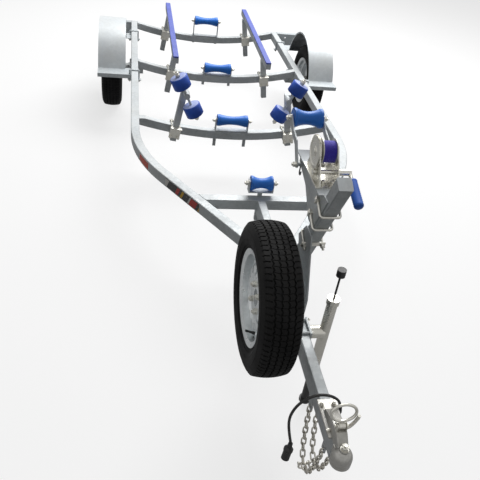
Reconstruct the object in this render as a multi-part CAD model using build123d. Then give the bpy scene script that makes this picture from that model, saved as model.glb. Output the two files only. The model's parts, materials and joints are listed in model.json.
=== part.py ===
from build123d import *
import math
import os

# Single-axle boat trailer. Millimetres, +Z up, ground at z = 0.
# The coupling points to -Y, the open rear end to +Y, and the trailer's left side is +X.
# Stations along the trailer are measured from the axle: + is towards the rear, - towards the coupling.

# ---- driving dimensions -------------------------------------------------------------
TYRE_RADIUS = 286.0
TYRE_WIDTH = 150.0
TREAD_WIDTH = 116.0
RIM_SEAT = 165.0              # radius of the bead seat
RIM_FLANGE = 181.0
RIM_WIDTH = 114.0             # between the bead flanges
RIM_WALL = 3.5
DISC_OFFSET = 30.0            # disc's mounting face outboard of the wheel's middle
TRACK = 1607.0                # between the middles of the two tyres

RAIL_SPACING = 1265.0         # between the middles of the two side rails
RAIL_WIDTH = 50.0
RAIL_HEIGHT = 60.0
RAIL_TOP = 445.0
RAIL_REAR = 750.0             # station of the rails' open ends
BEND_STATION = -1626.0        # where the straight and slanting middle lines of a rail cross
BEND_ANGLE = 31.9             # degrees
BEND_RADIUS = 975.0
TUBE_CORNER = 5.0             # outside corner radius of every square tube

DRAWBAR_WIDTH = 40.0
DRAWBAR_HEIGHT = 80.0
DRAWBAR_FRONT = -3540.0
CROSS_DEPTH = 50.0            # along the trailer
CROSS_HEIGHT = 55.0
CROSS_SAG = 80.0
REAR_CROSS = 725.0            # stations of the cross-members' middles
MIDDLE_CROSS = -218.0
THIRD_CROSS = -1079.0
FRONT_CROSS = -2108.0

STUB_RADIUS = 15.0
GUARD_RADIUS = 380.0
GUARD_SHEET = 3.0
GUARD_INNER = 698.0
GUARD_OUTER = 894.0
STEP_TOP = 420.0
STEP_LENGTH = 112.0
STEP_LIP = 28.0
CLAMP_ROD = 5.0               # radius of the clamping U-bolts

SKID_X = 342.0
SKID_WIDTH = 40.0
SKID_HEIGHT = 40.0
STRIP_HEIGHT = 12.0
SKID_FRONT = -445.0
SKID_REAR = 805.0
SKID_FRONT_TOP = 568.0        # top of the strip at each end
SKID_REAR_TOP = 606.0
POST_SIZE = 40.0
POST_X = 362.0                # where a post crosses its cross-member
POST_FOOT = 110.0             # post below the cross-member's middle

KEEL_LENGTH = 200.0
KEEL_RADIUS = 38.0
KEEL_WAIST = 27.0
KEEL_PIN = 8.0
KEEL_HEIGHTS = ((REAR_CROSS, 497.0, 292.0), (MIDDLE_CROSS, 418.0, 272.0), (THIRD_CROSS, 388.0, 187.0))
FRONT_KEEL_LENGTH = 112.0
FRONT_KEEL_HEIGHT = 513.0
FRONT_KEEL_FOOT = 289.0

WOBBLE_X = 377.0
WOBBLE_TOP = 612.0
WOBBLE_FOOT = 255.0
WOBBLE_PIVOT_Z = 593.0
WOBBLE_PIVOT_X = 322.0
WOBBLE_REACH = 81.0           # bar in front of the post's middle
WOBBLE_TILT = 63.0            # degrees of the bar from level
WOBBLE_RADIUS = 55.0
WOBBLE_LENGTH = 75.0
WOBBLE_OFFSET = 97.0          # roller's middle from the pivot
WOBBLE_BAR = 8.0

WINCH_POST_SIZE = 50.0
WINCH_POST_BASE = -2735.0
WINCH_POST_LEAN = 26.7        # degrees forward
WINCH_POST_TOP = 1120.0
PLATFORM_TOP = 1030.0
PLATFORM_REAR = -2680.0
PLATE = 5.0

DRUM_STATION = -2858.0
DRUM_Z = 1119.0
DRUM_HALF = 26.0
GEAR_RADIUS = 58.0
PINION_RADIUS = 12.0
PINION_ANGLE = 60.0           # degrees below level, towards the coupling
CRANK_X = 86.0
CRANK_LENGTH = 150.0
BOW_STATION = -2580.0
BOW_Z = 1112.0
BOW_LENGTH = 112.0
BOW_RADIUS = 37.0
BOW_WAIST = 25.0
BOW_PIN = 6.0

SPARE_X = -172.0
SPARE_STATION = -3030.0
SPARE_Z = 603.0

JACK_X = 95.0
JACK_STATION = -3030.0
JACK_PIVOT_Z = 420.0
JACK_TUBE = 21.0
JACK_WALL = 2.5
JACK_BOTTOM = 160.0
JACK_TOP = 570.0
JACK_FOOT = 25.0
COUPLING_NOSE = -3615.0
BALL_RADIUS = 25.0
BALL_STATION = -3580.0

LEAD_RADIUS = 5.0
LEAD_EXIT = (44.0, -3406.0, 423.0)          # x, station and height where the lead leaves its gland
LEAD_BENDS = ((44.0, -3406.0, 464.0), (6.0, -3400.0, 500.0), (-50.0, -3396.0, 505.0), (-100.0, -3394.0, 464.0),
              (-125.0, -3398.0, 402.0), (-120.0, -3408.0, 338.0))
LEAD_END = (-106.0, -3426.0, 284.0)         # where it enters its plug
PLUG_TIP = (-118.0, -3440.0, 216.0)

LINK_WIRE = 3.0               # radius of the chain's wire
LINK_INNER = 26.0             # inside length of a link
LINK_WIDTH = 11.0             # inside width of a link
LINK_SLACK = 0.2
LUG_X = 16.0
LUG_SHEET = 5.0

SHAFT_FIT = 0.5               # running clearance round a shaft or pin

# ---- derived places -------------------------------------------------------------------
AXLE_Y = -(SKID_REAR + COUPLING_NOSE) / 2
RAIL_X = RAIL_SPACING / 2
RAIL_INNER = RAIL_X - RAIL_WIDTH / 2
RAIL_OUTER = RAIL_X + RAIL_WIDTH / 2
RAIL_BOTTOM = RAIL_TOP - RAIL_HEIGHT
DRAWBAR_BOTTOM = RAIL_TOP - DRAWBAR_HEIGHT
WHEEL_X = TRACK / 2
SLANT = math.tan(math.radians(BEND_ANGLE))
SIDES = ((1, "left"), (-1, "right"))
CROSS_ARC = (RAIL_INNER ** 2 + CROSS_SAG ** 2) / (2 * CROSS_SAG)
parts = {}


def at(station):
    """The y of a station that is measured from the axle."""
    return AXLE_Y + station


def block(x0, x1, y0, y1, z0, z1):
    """A box between two corners."""
    box = Box(abs(x1 - x0), abs(y1 - y0), abs(z1 - z0))
    return Pos((x0 + x1) / 2, (y0 + y1) / 2, (z0 + z1) / 2) * box


def rod(start, end, radius):
    """A round bar from one point to another."""
    start, end = Vector(*start), Vector(*end)
    plane = Plane(origin=start, z_dir=(end - start).normalized())
    return plane * extrude(Circle(radius), (end - start).length)


def on_side(side, shape):
    """A piece modelled on the +X side, put on the side asked for."""
    return shape if side > 0 else mirror(shape, Plane.YZ)


def tube_between(start, end, width, height, side_dir=(1, 0, 0)):
    """A closed square tube from one point to another, its width along side_dir."""
    start, end = Vector(*start), Vector(*end)
    plane = Plane(origin=start, x_dir=side_dir, z_dir=(end - start).normalized())
    return plane * extrude(RectangleRounded(width, height, TUBE_CORNER), (end - start).length)


def plate_yz(points, x0, x1):
    """A flat plate cut to an outline of (station, z) points, between two x."""
    outline = Plane.YZ * make_face(Polyline(*[(at(s), z) for s, z in points], close=True))
    return Pos(x0, 0, 0) * extrude(outline, x1 - x0)


def spool(half_length, flange, waist, bore):
    """A waisted roller with its axle along X."""
    flat = 0.16 * half_length
    edge = Polyline((-half_length, bore), (-half_length, flange), (-half_length + flat, flange))
    curve = ThreePointArc((-half_length + flat, flange), (0, waist), (half_length - flat, flange))
    end = Polyline((half_length - flat, flange), (half_length, flange), (half_length, bore), (-half_length, bore))
    return revolve(make_face(edge + curve + end), Axis.X)


# ---- chassis --------------------------------------------------------------------------
def slant_x(station):
    """Where a slanting rail's middle line is at a station."""
    return RAIL_X - (BEND_STATION - station) * SLANT


def build_rail():
    """A side rail: straight from the rear, then bent in to the drawbar's side."""
    z = RAIL_TOP - RAIL_HEIGHT / 2
    reach = (RAIL_X + RAIL_WIDTH) / math.sin(math.radians(BEND_ANGLE))
    corner = (RAIL_X, at(BEND_STATION), z)
    tip = (RAIL_X - reach * math.sin(math.radians(BEND_ANGLE)),
           at(BEND_STATION) - reach * math.cos(math.radians(BEND_ANGLE)), z)
    path = FilletPolyline((RAIL_X, at(RAIL_REAR), z), corner, tip, radius=BEND_RADIUS)
    section = Plane(origin=path @ 0, x_dir=(1, 0, 0), z_dir=path % 0)
    rail = sweep(section * RectangleRounded(RAIL_WIDTH, RAIL_HEIGHT, TUBE_CORNER), path=path)
    past = block(-RAIL_X, DRAWBAR_WIDTH / 2, at(COUPLING_NOSE), at(FRONT_CROSS), 0, 2 * RAIL_TOP)
    return rail - past


def cross_middle(x, centre_z):
    """Height of a bowed cross-member's middle line at x."""
    return centre_z + CROSS_ARC - math.sqrt(CROSS_ARC ** 2 - x ** 2)


def build_bowed_cross(station, centre_z, half_span, top_limit):
    """A cross-member bowed down in the middle, trimmed at its ends."""
    wide = half_span + CROSS_HEIGHT
    end_z = cross_middle(wide, centre_z)
    path = ThreePointArc((-wide, at(station), end_z), (0, at(station), centre_z), (wide, at(station), end_z))
    section = Plane(origin=path @ 0, x_dir=(0, 1, 0), z_dir=path % 0)
    bar = sweep(section * RectangleRounded(CROSS_DEPTH, CROSS_HEIGHT, TUBE_CORNER), path=path)
    keep = block(-half_span, half_span, at(station) - CROSS_DEPTH, at(station) + CROSS_DEPTH, 0, top_limit)
    return bar & keep


CROSS_CENTRE = RAIL_TOP - CROSS_HEIGHT / 2 - CROSS_SAG
THIRD_CENTRE = RAIL_BOTTOM - CROSS_HEIGHT / 2 - CROSS_SAG + 10.0
CROSS_CENTRES = {REAR_CROSS: CROSS_CENTRE, MIDDLE_CROSS: CROSS_CENTRE, THIRD_CROSS: THIRD_CENTRE}


def build_front_cross():
    """The straight cross-member between the slanting rails, behind the drawbar."""
    front, rear = FRONT_CROSS - CROSS_DEPTH / 2, FRONT_CROSS + CROSS_DEPTH / 2
    inset = RAIL_WIDTH / 2 / math.cos(math.radians(BEND_ANGLE))
    ends = [slant_x(front) - inset, slant_x(rear) - inset]
    outline = Polyline((-ends[0], at(front)), (ends[0], at(front)), (ends[1], at(rear)), (-ends[1], at(rear)),
                       close=True)
    return Pos(0, 0, RAIL_TOP - CROSS_HEIGHT) * extrude(make_face(outline), CROSS_HEIGHT)


def build_drawbar():
    """The single middle beam that carries the coupling, jack and winch post."""
    rear = FRONT_CROSS - CROSS_DEPTH / 2
    middle = RAIL_TOP - DRAWBAR_HEIGHT / 2
    return tube_between((0, at(DRAWBAR_FRONT), middle), (0, at(rear), middle), DRAWBAR_WIDTH, DRAWBAR_HEIGHT)


def build_lamp_bracket():
    """The plate outboard of a rail's rear end that carries a lamp board."""
    front = at(REAR_CROSS - CROSS_DEPTH / 2)
    outer = GUARD_OUTER - 10
    plate = block(RAIL_OUTER, outer, front, front + PLATE, RAIL_TOP - 100, RAIL_TOP)
    flange = block(RAIL_OUTER, outer, front, front + CROSS_DEPTH, RAIL_TOP - PLATE, RAIL_TOP)
    hole = rod((738, front - 10, 413), (738, front + 20, 413), 6)
    return plate + flange - hole


for side, name in SIDES:
    parts[f"rail_{name}"] = on_side(side, build_rail())
parts["drawbar"] = build_drawbar()
parts["crossmember_rear"] = build_bowed_cross(REAR_CROSS, CROSS_CENTRE, RAIL_INNER, RAIL_TOP)
parts["crossmember_middle"] = build_bowed_cross(MIDDLE_CROSS, CROSS_CENTRE, RAIL_INNER, RAIL_TOP)
parts["crossmember_third"] = build_bowed_cross(THIRD_CROSS, THIRD_CENTRE, RAIL_OUTER, RAIL_BOTTOM)
parts["crossmember_front"] = build_front_cross()
parts["lamp_brackets"] = build_lamp_bracket() + mirror(build_lamp_bracket(), Plane.YZ)


# ---- wheels and suspension ----------------------------------------------------------------
def build_suspension():
    """A rubber suspension unit under the rail, with its trailing arm and stub axle."""
    ahead, casing = -135.0, 60.0
    casing_z = RAIL_BOTTOM - 6 - casing / 2
    plate = block(RAIL_INNER - 12, RAIL_OUTER + 12, at(ahead - 95), at(ahead + 95), RAIL_BOTTOM - 6, RAIL_BOTTOM)
    body = block(RAIL_INNER - 40, RAIL_OUTER + 22, at(ahead - casing / 2), at(ahead + casing / 2),
                 casing_z - casing / 2, casing_z + casing / 2)
    outer = RAIL_OUTER + 22
    boss = rod((outer, at(ahead), casing_z), (outer + 22, at(ahead), casing_z), 34)
    eye = rod((outer, at(0), TYRE_RADIUS), (outer + 22, at(0), TYRE_RADIUS), 28)
    arm = plate_yz(((ahead - 8, casing_z + 30), (5, TYRE_RADIUS + 26), (-12, TYRE_RADIUS - 26),
                    (ahead - 20, casing_z - 28)), outer, outer + 22)
    stub = rod((outer, at(0), TYRE_RADIUS), (WHEEL_X + DISC_OFFSET + 8, at(0), TYRE_RADIUS), STUB_RADIUS)
    return plate + body + boss + eye + arm + stub


def build_hub():
    """A hub that turns on the stub axle, with its flange and dust cap, round the X axis."""
    bore = STUB_RADIUS + SHAFT_FIT
    outline = Polyline((-45, bore), (-45, 34), (DISC_OFFSET - 12, 38), (DISC_OFFSET - 12, 66),
                       (DISC_OFFSET, 66), (DISC_OFFSET, 28), (DISC_OFFSET + 30, 25), (DISC_OFFSET + 34, 21),
                       (DISC_OFFSET + 34, 0), (DISC_OFFSET + 10, 0), (DISC_OFFSET + 10, bore), close=True)
    return revolve(make_face(outline), Axis.X)


def build_rim():
    """A pressed steel wheel: a dropped-centre rim and a dished disc, round the X axis."""
    half = RIM_WIDTH / 2
    seat, well = RIM_SEAT, RIM_SEAT - 17
    outer = [(-half, RIM_FLANGE), (-half + 5, seat), (-half + 30, seat - 2), (-half + 38, well), (8, well),
             (20, seat - 2), (half - 5, seat), (half, RIM_FLANGE)]
    inner = [(half + RIM_WALL, RIM_FLANGE), (half - 3, seat - RIM_WALL - 2), (22, seat - RIM_WALL - 4),
             (10, well - RIM_WALL), (-half + 36, well - RIM_WALL), (-half + 28, seat - RIM_WALL - 4),
             (-half + 3, seat - RIM_WALL - 2), (-half - RIM_WALL, RIM_FLANGE)]
    barrel = revolve(make_face(Polyline(*outer, *inner, close=True)), Axis.X)
    face = DISC_OFFSET
    disc = Polyline((face, 32), (face, 72), (face + 14, 92), (face + 10, 118), (face - 14, well - 1),
                    (face - 19, well - 1), (face + 5, 117), (face + 9, 92), (face + 5, 76),
                    (face + 5, 32), close=True)
    wheel = barrel + revolve(make_face(disc), Axis.X)
    slots = [Rot(angle, 0, 0) * Pos(face, 0, 112) * Rot(0, 90, 0) * extrude(SlotOverall(44, 14), 60, both=True)
             for angle in range(15, 375, 30)]
    studs = [Rot(angle, 0, 0) * Pos(0, 0, 50) * rod((face - 5, 0, 0), (face + 20, 0, 0), 7)
             for angle in range(45, 405, 90)]
    return wheel - slots + studs


def build_tyre():
    """A tyre's outer form, round the X axis."""
    half, tread = TYRE_WIDTH / 2, TREAD_WIDTH / 2
    seat = RIM_SEAT
    bead = RIM_WIDTH / 2 - 5
    right = Polyline((bead, seat), (bead + 6, RIM_FLANGE + 4))
    wall = ThreePointArc((bead + 6, RIM_FLANGE + 4), (half, 232), (tread, TYRE_RADIUS - 8))
    crown = ThreePointArc((tread, TYRE_RADIUS - 8), (0, TYRE_RADIUS), (-tread, TYRE_RADIUS - 8))
    wall2 = ThreePointArc((-tread, TYRE_RADIUS - 8), (-half, 232), (-bead - 6, RIM_FLANGE + 4))
    left = Polyline((-bead - 6, RIM_FLANGE + 4), (-bead, seat), (bead, seat))
    return revolve(make_face(right + wall + crown + wall2 + left), Axis.X)


def build_mudguard():
    """A rolled steel mudguard over the tyre, with turned-down side edges."""
    foot = math.asin((STEP_TOP - TYRE_RADIUS) / GUARD_RADIUS)
    ring = Pos(GUARD_INNER, at(0), TYRE_RADIUS) * Rot(0, 90, 0) * (
        Cylinder(GUARD_RADIUS, GUARD_OUTER - GUARD_INNER, align=(Align.CENTER, Align.CENTER, Align.MIN))
        - Cylinder(GUARD_RADIUS - GUARD_SHEET, GUARD_OUTER - GUARD_INNER, align=(Align.CENTER, Align.CENTER, Align.MIN)))
    edges = None
    for x in (GUARD_INNER, GUARD_OUTER - 6):
        bead = Pos(x, at(0), TYRE_RADIUS) * Rot(0, 90, 0) * (
            Cylinder(GUARD_RADIUS, 6, align=(Align.CENTER, Align.CENTER, Align.MIN))
            - Cylinder(GUARD_RADIUS - 12, 6, align=(Align.CENTER, Align.CENTER, Align.MIN)))
        edges = bead if edges is None else edges + bead
    above = block(0, 2 * GUARD_OUTER, at(-2 * GUARD_RADIUS), at(2 * GUARD_RADIUS), STEP_TOP, 3 * GUARD_RADIUS)
    return (ring + edges) & above


def build_guard_step(end):
    """A step plate at one end of the mudguard, clamped to the rail by a U-bolt."""
    foot = math.sqrt(GUARD_RADIUS ** 2 - (STEP_TOP - TYRE_RADIUS) ** 2)
    near, far = at(end * (foot - 20)), at(end * (foot + STEP_LENGTH))
    lip = at(end * (foot + STEP_LENGTH - GUARD_SHEET))
    bolt_y = at(end * (foot + STEP_LENGTH - 20))
    top = block(RAIL_OUTER, GUARD_OUTER, near, far, STEP_TOP - GUARD_SHEET, STEP_TOP)
    down = block(RAIL_OUTER, GUARD_OUTER, lip, far, STEP_TOP - STEP_LIP, STEP_TOP)
    cheek = block(RAIL_OUTER, RAIL_OUTER + PLATE, bolt_y - 30, bolt_y + 30 if end < 0 else bolt_y + 15,
                  RAIL_BOTTOM - PLATE, STEP_TOP)
    under = block(RAIL_INNER - 22, RAIL_OUTER + 24, bolt_y - 15, bolt_y + 15, RAIL_BOTTOM - PLATE, RAIL_BOTTOM)
    inside, outside = RAIL_INNER - CLAMP_ROD - 1, RAIL_OUTER + CLAMP_ROD + PLATE + 1
    legs = (rod((inside, bolt_y, RAIL_BOTTOM - 20), (inside, bolt_y, RAIL_TOP + CLAMP_ROD), CLAMP_ROD)
            + rod((outside, bolt_y, RAIL_BOTTOM - 20), (outside, bolt_y, RAIL_TOP + CLAMP_ROD), CLAMP_ROD)
            + rod((inside, bolt_y, RAIL_TOP + CLAMP_ROD), (outside, bolt_y, RAIL_TOP + CLAMP_ROD), CLAMP_ROD))
    return top + down + cheek + under + legs


for side, name in SIDES:
    wheel_at = Pos(WHEEL_X, at(0), TYRE_RADIUS)
    parts[f"suspension_{name}"] = on_side(side, build_suspension())
    parts[f"hub_{name}"] = on_side(side, wheel_at * build_hub())
    parts[f"rim_{name}"] = on_side(side, wheel_at * build_rim())
    parts[f"tyre_{name}"] = on_side(side, wheel_at * build_tyre())
    parts[f"mudguard_{name}"] = on_side(side, build_mudguard())
    parts[f"guard_steps_{name}"] = on_side(side, build_guard_step(-1) + build_guard_step(1))


# ---- skids --------------------------------------------------------------------------------
SKID_RISE = math.degrees(math.atan2(SKID_REAR_TOP - SKID_FRONT_TOP, SKID_REAR - SKID_FRONT))
SKID_PLANE = Plane(origin=(SKID_X, at(SKID_FRONT), SKID_FRONT_TOP), x_dir=(-1, 0, 0),
                   z_dir=(0, math.cos(math.radians(SKID_RISE)), math.sin(math.radians(SKID_RISE))))
SKID_LENGTH = ((SKID_REAR - SKID_FRONT) / math.cos(math.radians(SKID_RISE))
               - (SKID_HEIGHT + STRIP_HEIGHT) * math.tan(math.radians(SKID_RISE)))


def skid_bar(width, top, height, corner=4.0):
    """A bar along the skid, its top a distance below the strip's top."""
    section = Pos(0, -(top + height / 2)) * RectangleRounded(width, height, corner)
    return SKID_PLANE * extrude(section, SKID_LENGTH)


def build_post(station, x, foot, top_z):
    """A leaning post on a cross-member's front face, square to its bow."""
    centre_z = CROSS_CENTRES[station]
    lean = math.asin(x / CROSS_ARC)
    mid = cross_middle(x, centre_z)
    y = at(station - CROSS_DEPTH / 2 - POST_SIZE / 2)
    up = (top_z - mid) / math.cos(lean)
    low = (mid - foot) / math.cos(lean)
    start = (x + low * math.sin(lean), y, mid - low * math.cos(lean))
    end = (x - up * math.sin(lean), y, mid + up * math.cos(lean))
    return tube_between(start, end, POST_SIZE, POST_SIZE, side_dir=(math.cos(lean), 0, math.sin(lean)))


def build_skid_post(station):
    """A skid post cut off under the skid."""
    over = SKID_PLANE * Pos(0, 200 - SKID_HEIGHT - STRIP_HEIGHT, -200) * Box(
        400, 400, SKID_LENGTH + 400, align=(Align.CENTER, Align.CENTER, Align.MIN))
    return build_post(station, POST_X, CROSS_CENTRE - POST_FOOT, SKID_REAR_TOP) - over


posts = []
for side, name in SIDES:
    parts[f"skid_{name}"] = on_side(side, skid_bar(SKID_WIDTH, STRIP_HEIGHT, SKID_HEIGHT))
    parts[f"skid_strip_{name}"] = on_side(side, skid_bar(SKID_WIDTH, 0, STRIP_HEIGHT))
    posts += [on_side(side, build_skid_post(station)) for station in (REAR_CROSS, MIDDLE_CROSS)]
parts["skid_posts"] = Compound(children=posts)


# ---- keel rollers ---------------------------------------------------------------------------
def build_keel_bracket(station, roller_z, foot_z):
    """Two legs behind a cross-member, with a plate across them, two ears and the roller's pin."""
    seat = CROSS_CENTRES[station] + CROSS_HEIGHT / 2 + 3
    ear, leg = KEEL_LENGTH / 2 + 4, 20.0
    rear = at(station + CROSS_DEPTH / 2)
    shape = block(-ear - 6, ear + 6, at(station - CROSS_DEPTH / 2), rear + 8, seat, seat + PLATE)
    for sign in (1, -1):
        shape += block(sign * ear, sign * (ear + 6), at(station - 18), at(station + 18), seat, roller_z + 18)
        shape += block(sign * (ear - 12), sign * (ear + 8), rear, rear + 8, foot_z, seat + PLATE)
    return shape + rod((-ear - 12, at(station), roller_z), (ear + 12, at(station), roller_z), KEEL_PIN)


def build_front_keel_bracket():
    """A fork on a single stem behind the front cross-member."""
    ear = FRONT_KEEL_LENGTH / 2 + 4
    rear = FRONT_CROSS + CROSS_DEPTH / 2
    base = FRONT_KEEL_HEIGHT - KEEL_RADIUS - 10
    middle = at(rear + 10)
    shape = block(-ear - 5, ear + 5, middle - 20, middle + 20, base, base + PLATE)
    for sign in (1, -1):
        shape += block(sign * ear, sign * (ear + 5), middle - 20, middle + 20, base, FRONT_KEEL_HEIGHT + 18)
    shape += block(-10, 10, at(rear), at(rear + 20), FRONT_KEEL_FOOT, base)
    return shape + rod((-ear - 14, middle, FRONT_KEEL_HEIGHT), (ear + 14, middle, FRONT_KEEL_HEIGHT), KEEL_PIN)


KEEL_NAMES = ("rear", "middle", "third")
parts["keel_brackets"] = Compound(children=[build_keel_bracket(*row) for row in KEEL_HEIGHTS])
for name, (station, roller_z, foot_z) in zip(KEEL_NAMES, KEEL_HEIGHTS):
    roller = spool(KEEL_LENGTH / 2, KEEL_RADIUS, KEEL_WAIST, KEEL_PIN + SHAFT_FIT)
    parts[f"keel_roller_{name}"] = Pos(0, at(station), roller_z) * roller
parts["front_keel_bracket"] = build_front_keel_bracket()
parts["keel_roller_front"] = Pos(0, at(FRONT_CROSS + CROSS_DEPTH / 2 + 10), FRONT_KEEL_HEIGHT) * spool(
    FRONT_KEEL_LENGTH / 2, KEEL_RADIUS, KEEL_WAIST - 2, KEEL_PIN + SHAFT_FIT)


# ---- side wobble rollers ----------------------------------------------------------------------
WOBBLE_POST_Y = at(THIRD_CROSS - CROSS_DEPTH / 2 - POST_SIZE / 2)
WOBBLE_BAR_Y = WOBBLE_POST_Y - WOBBLE_REACH


def build_wobble_post():
    """A side post with the pin that its roller bar rocks on."""
    post = build_post(THIRD_CROSS, WOBBLE_X, WOBBLE_FOOT, WOBBLE_TOP)
    face = WOBBLE_POST_Y - POST_SIZE / 2
    pin = rod((WOBBLE_PIVOT_X, face + 10, WOBBLE_PIVOT_Z), (WOBBLE_PIVOT_X, WOBBLE_BAR_Y + 15, WOBBLE_PIVOT_Z), 8)
    return post + pin


def along_bar(distance):
    """A point on the roller bar, outwards and up from its pivot."""
    angle = math.radians(WOBBLE_TILT)
    return (WOBBLE_PIVOT_X + distance * math.cos(angle), WOBBLE_BAR_Y, WOBBLE_PIVOT_Z + distance * math.sin(angle))


def build_wobble_bar():
    """The rocking bar, with a bored hub on the pivot and a nut at each end."""
    end = WOBBLE_OFFSET + WOBBLE_LENGTH / 2 + 2
    bar = rod(along_bar(-end - 12), along_bar(end + 12), WOBBLE_BAR)
    for sign in (1, -1):
        bar += rod(along_bar(sign * (end)), along_bar(sign * (end + 10)), 14)
    face = WOBBLE_POST_Y - POST_SIZE / 2
    hub = rod((WOBBLE_PIVOT_X, face - 5, WOBBLE_PIVOT_Z), (WOBBLE_PIVOT_X, WOBBLE_BAR_Y - 10, WOBBLE_PIVOT_Z), 19)
    bore = rod((WOBBLE_PIVOT_X, face + 10, WOBBLE_PIVOT_Z), (WOBBLE_PIVOT_X, WOBBLE_BAR_Y + 13, WOBBLE_PIVOT_Z),
               8 + SHAFT_FIT)
    return bar + hub - bore


def build_wobble_roller(sign):
    """A short fat roller on one end of the bar."""
    near = WOBBLE_OFFSET - WOBBLE_LENGTH / 2
    far = WOBBLE_OFFSET + WOBBLE_LENGTH / 2
    body = rod(along_bar(sign * near), along_bar(sign * far), WOBBLE_RADIUS)
    body = chamfer(body.edges().filter_by(GeomType.CIRCLE), 5)
    return body - rod(along_bar(sign * (near - 5)), along_bar(sign * (far + 5)), WOBBLE_BAR + SHAFT_FIT)


parts["wobble_posts"] = build_wobble_post() + mirror(build_wobble_post(), Plane.YZ)
for side, name in SIDES:
    parts[f"wobble_bar_{name}"] = on_side(side, build_wobble_bar())
    parts[f"wobble_upper_{name}"] = on_side(side, build_wobble_roller(1))
    parts[f"wobble_lower_{name}"] = on_side(side, build_wobble_roller(-1))


# ---- winch post, winch and bow roller ------------------------------------------------------------
LEAN = math.radians(WINCH_POST_LEAN)
POST_DIR = Vector(0, -math.sin(LEAN), math.cos(LEAN))
ARM_BOLT_STATION = PLATFORM_REAR - 75
ARM_BOLT_Z = PLATFORM_TOP - 22


def post_station(z):
    """Station of the winch post's middle line at a height."""
    return WINCH_POST_BASE - (z - RAIL_TOP) * math.tan(LEAN)


def build_winch_post():
    """The leaning winch post on a foot plate."""
    start = Vector(0, at(WINCH_POST_BASE), RAIL_TOP) - POST_DIR * 40
    end = Vector(0, at(post_station(WINCH_POST_TOP)), WINCH_POST_TOP)
    post = tube_between(start, end, WINCH_POST_SIZE, WINCH_POST_SIZE)
    post -= block(-100, 100, at(WINCH_POST_BASE - 200), at(WINCH_POST_BASE + 200), 0, RAIL_TOP)
    foot = block(-38, 38, at(WINCH_POST_BASE - 75), at(WINCH_POST_BASE + 60), RAIL_TOP, RAIL_TOP + 6)
    return post + foot


def arm_bolt():
    """The bolt through the cheek plates that the bow roller's arms hang on."""
    reach = BOW_LENGTH / 2 + 4 + PLATE
    return rod((-reach, at(ARM_BOLT_STATION), ARM_BOLT_Z), (reach, at(ARM_BOLT_STATION), ARM_BOLT_Z), 7)


def build_winch_mount():
    """Two cheek plates on the post's sides and the platform that carries the winch."""
    half = WINCH_POST_SIZE / 2
    front = post_station(PLATFORM_TOP) - 12
    outline = ((front, PLATFORM_TOP), (PLATFORM_REAR, PLATFORM_TOP), (PLATFORM_REAR, PLATFORM_TOP - 48),
               (-2800, 950), (post_station(870) + 45, 870), (post_station(870) - 12, 870))
    shape = plate_yz(outline, half, half + PLATE) + plate_yz(outline, -half - PLATE, -half)
    rear_face = post_station(PLATFORM_TOP - PLATE) + half / math.cos(LEAN) + 1
    top = block(-48, 48, at(rear_face), at(PLATFORM_REAR), PLATFORM_TOP - PLATE, PLATFORM_TOP)
    return shape + top - arm_bolt()


def build_bow_arms():
    """Two bent flat bars that hold the bow roller, and their tie bar."""
    route = ((ARM_BOLT_STATION, ARM_BOLT_Z), (PLATFORM_REAR - 15, 1068), (-2632, 1082), (BOW_STATION, BOW_Z))
    inner = BOW_LENGTH / 2 + 4
    shape = None
    for x in (inner, -inner - PLATE):
        for (s0, z0), (s1, z1) in zip(route, route[1:]):
            for s, z in ((s0, z0), (s1, z1)):
                disc = rod((x, at(s), z), (x + PLATE, at(s), z), 13)
                shape = disc if shape is None else shape + disc
            run = math.hypot(s1 - s0, z1 - z0)
            ds, dz = 13 * (z1 - z0) / run, 13 * (s1 - s0) / run
            shape += plate_yz(((s0 - ds, z0 + dz), (s1 - ds, z1 + dz), (s1 + ds, z1 - dz), (s0 + ds, z0 - dz)),
                              x, x + PLATE)
    shape += rod((-inner - 12, at(BOW_STATION), BOW_Z), (inner + 12, at(BOW_STATION), BOW_Z), BOW_PIN)
    return shape + arm_bolt()


PINION_STATION = DRUM_STATION - (GEAR_RADIUS + PINION_RADIUS) * math.cos(math.radians(PINION_ANGLE))
PINION_Z = DRUM_Z - (GEAR_RADIUS + PINION_RADIUS) * math.sin(math.radians(PINION_ANGLE))
FRAME_X = DRUM_HALF + 5


def build_winch_frame():
    """The winch's folded base and its two side plates, bored for the drum and crank shafts."""
    outline = ((DRUM_STATION - 100, PLATFORM_TOP), (DRUM_STATION + 80, PLATFORM_TOP), (DRUM_STATION + 26, DRUM_Z + 22),
               (DRUM_STATION - 10, DRUM_Z + 28), (PINION_STATION - 34, PINION_Z + 20))
    shape = block(-48, 48, at(DRUM_STATION - 100), at(DRUM_STATION + 80), PLATFORM_TOP, PLATFORM_TOP + 4)
    shape += plate_yz(outline, FRAME_X, FRAME_X + 4) + plate_yz(outline, -FRAME_X - 4, -FRAME_X)
    shape -= rod((-90, at(DRUM_STATION), DRUM_Z), (90, at(DRUM_STATION), DRUM_Z), 9 + SHAFT_FIT)
    return shape - rod((-90, at(PINION_STATION), PINION_Z), (90, at(PINION_STATION), PINION_Z), 8 + SHAFT_FIT)


def build_winch_drum():
    """The strap drum on its shaft, with the big gear outside the frame."""
    def disc(x0, x1, radius):
        return rod((x0, at(DRUM_STATION), DRUM_Z), (x1, at(DRUM_STATION), DRUM_Z), radius)
    shape = disc(-DRUM_HALF, DRUM_HALF, 14)
    shape += disc(-DRUM_HALF, -DRUM_HALF + 3, 46) + disc(DRUM_HALF - 3, DRUM_HALF, 46)
    shape += disc(-FRAME_X - 16, FRAME_X + 12, 9)
    return shape + disc(-FRAME_X - 14, -FRAME_X - 6, GEAR_RADIUS - 1)


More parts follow.
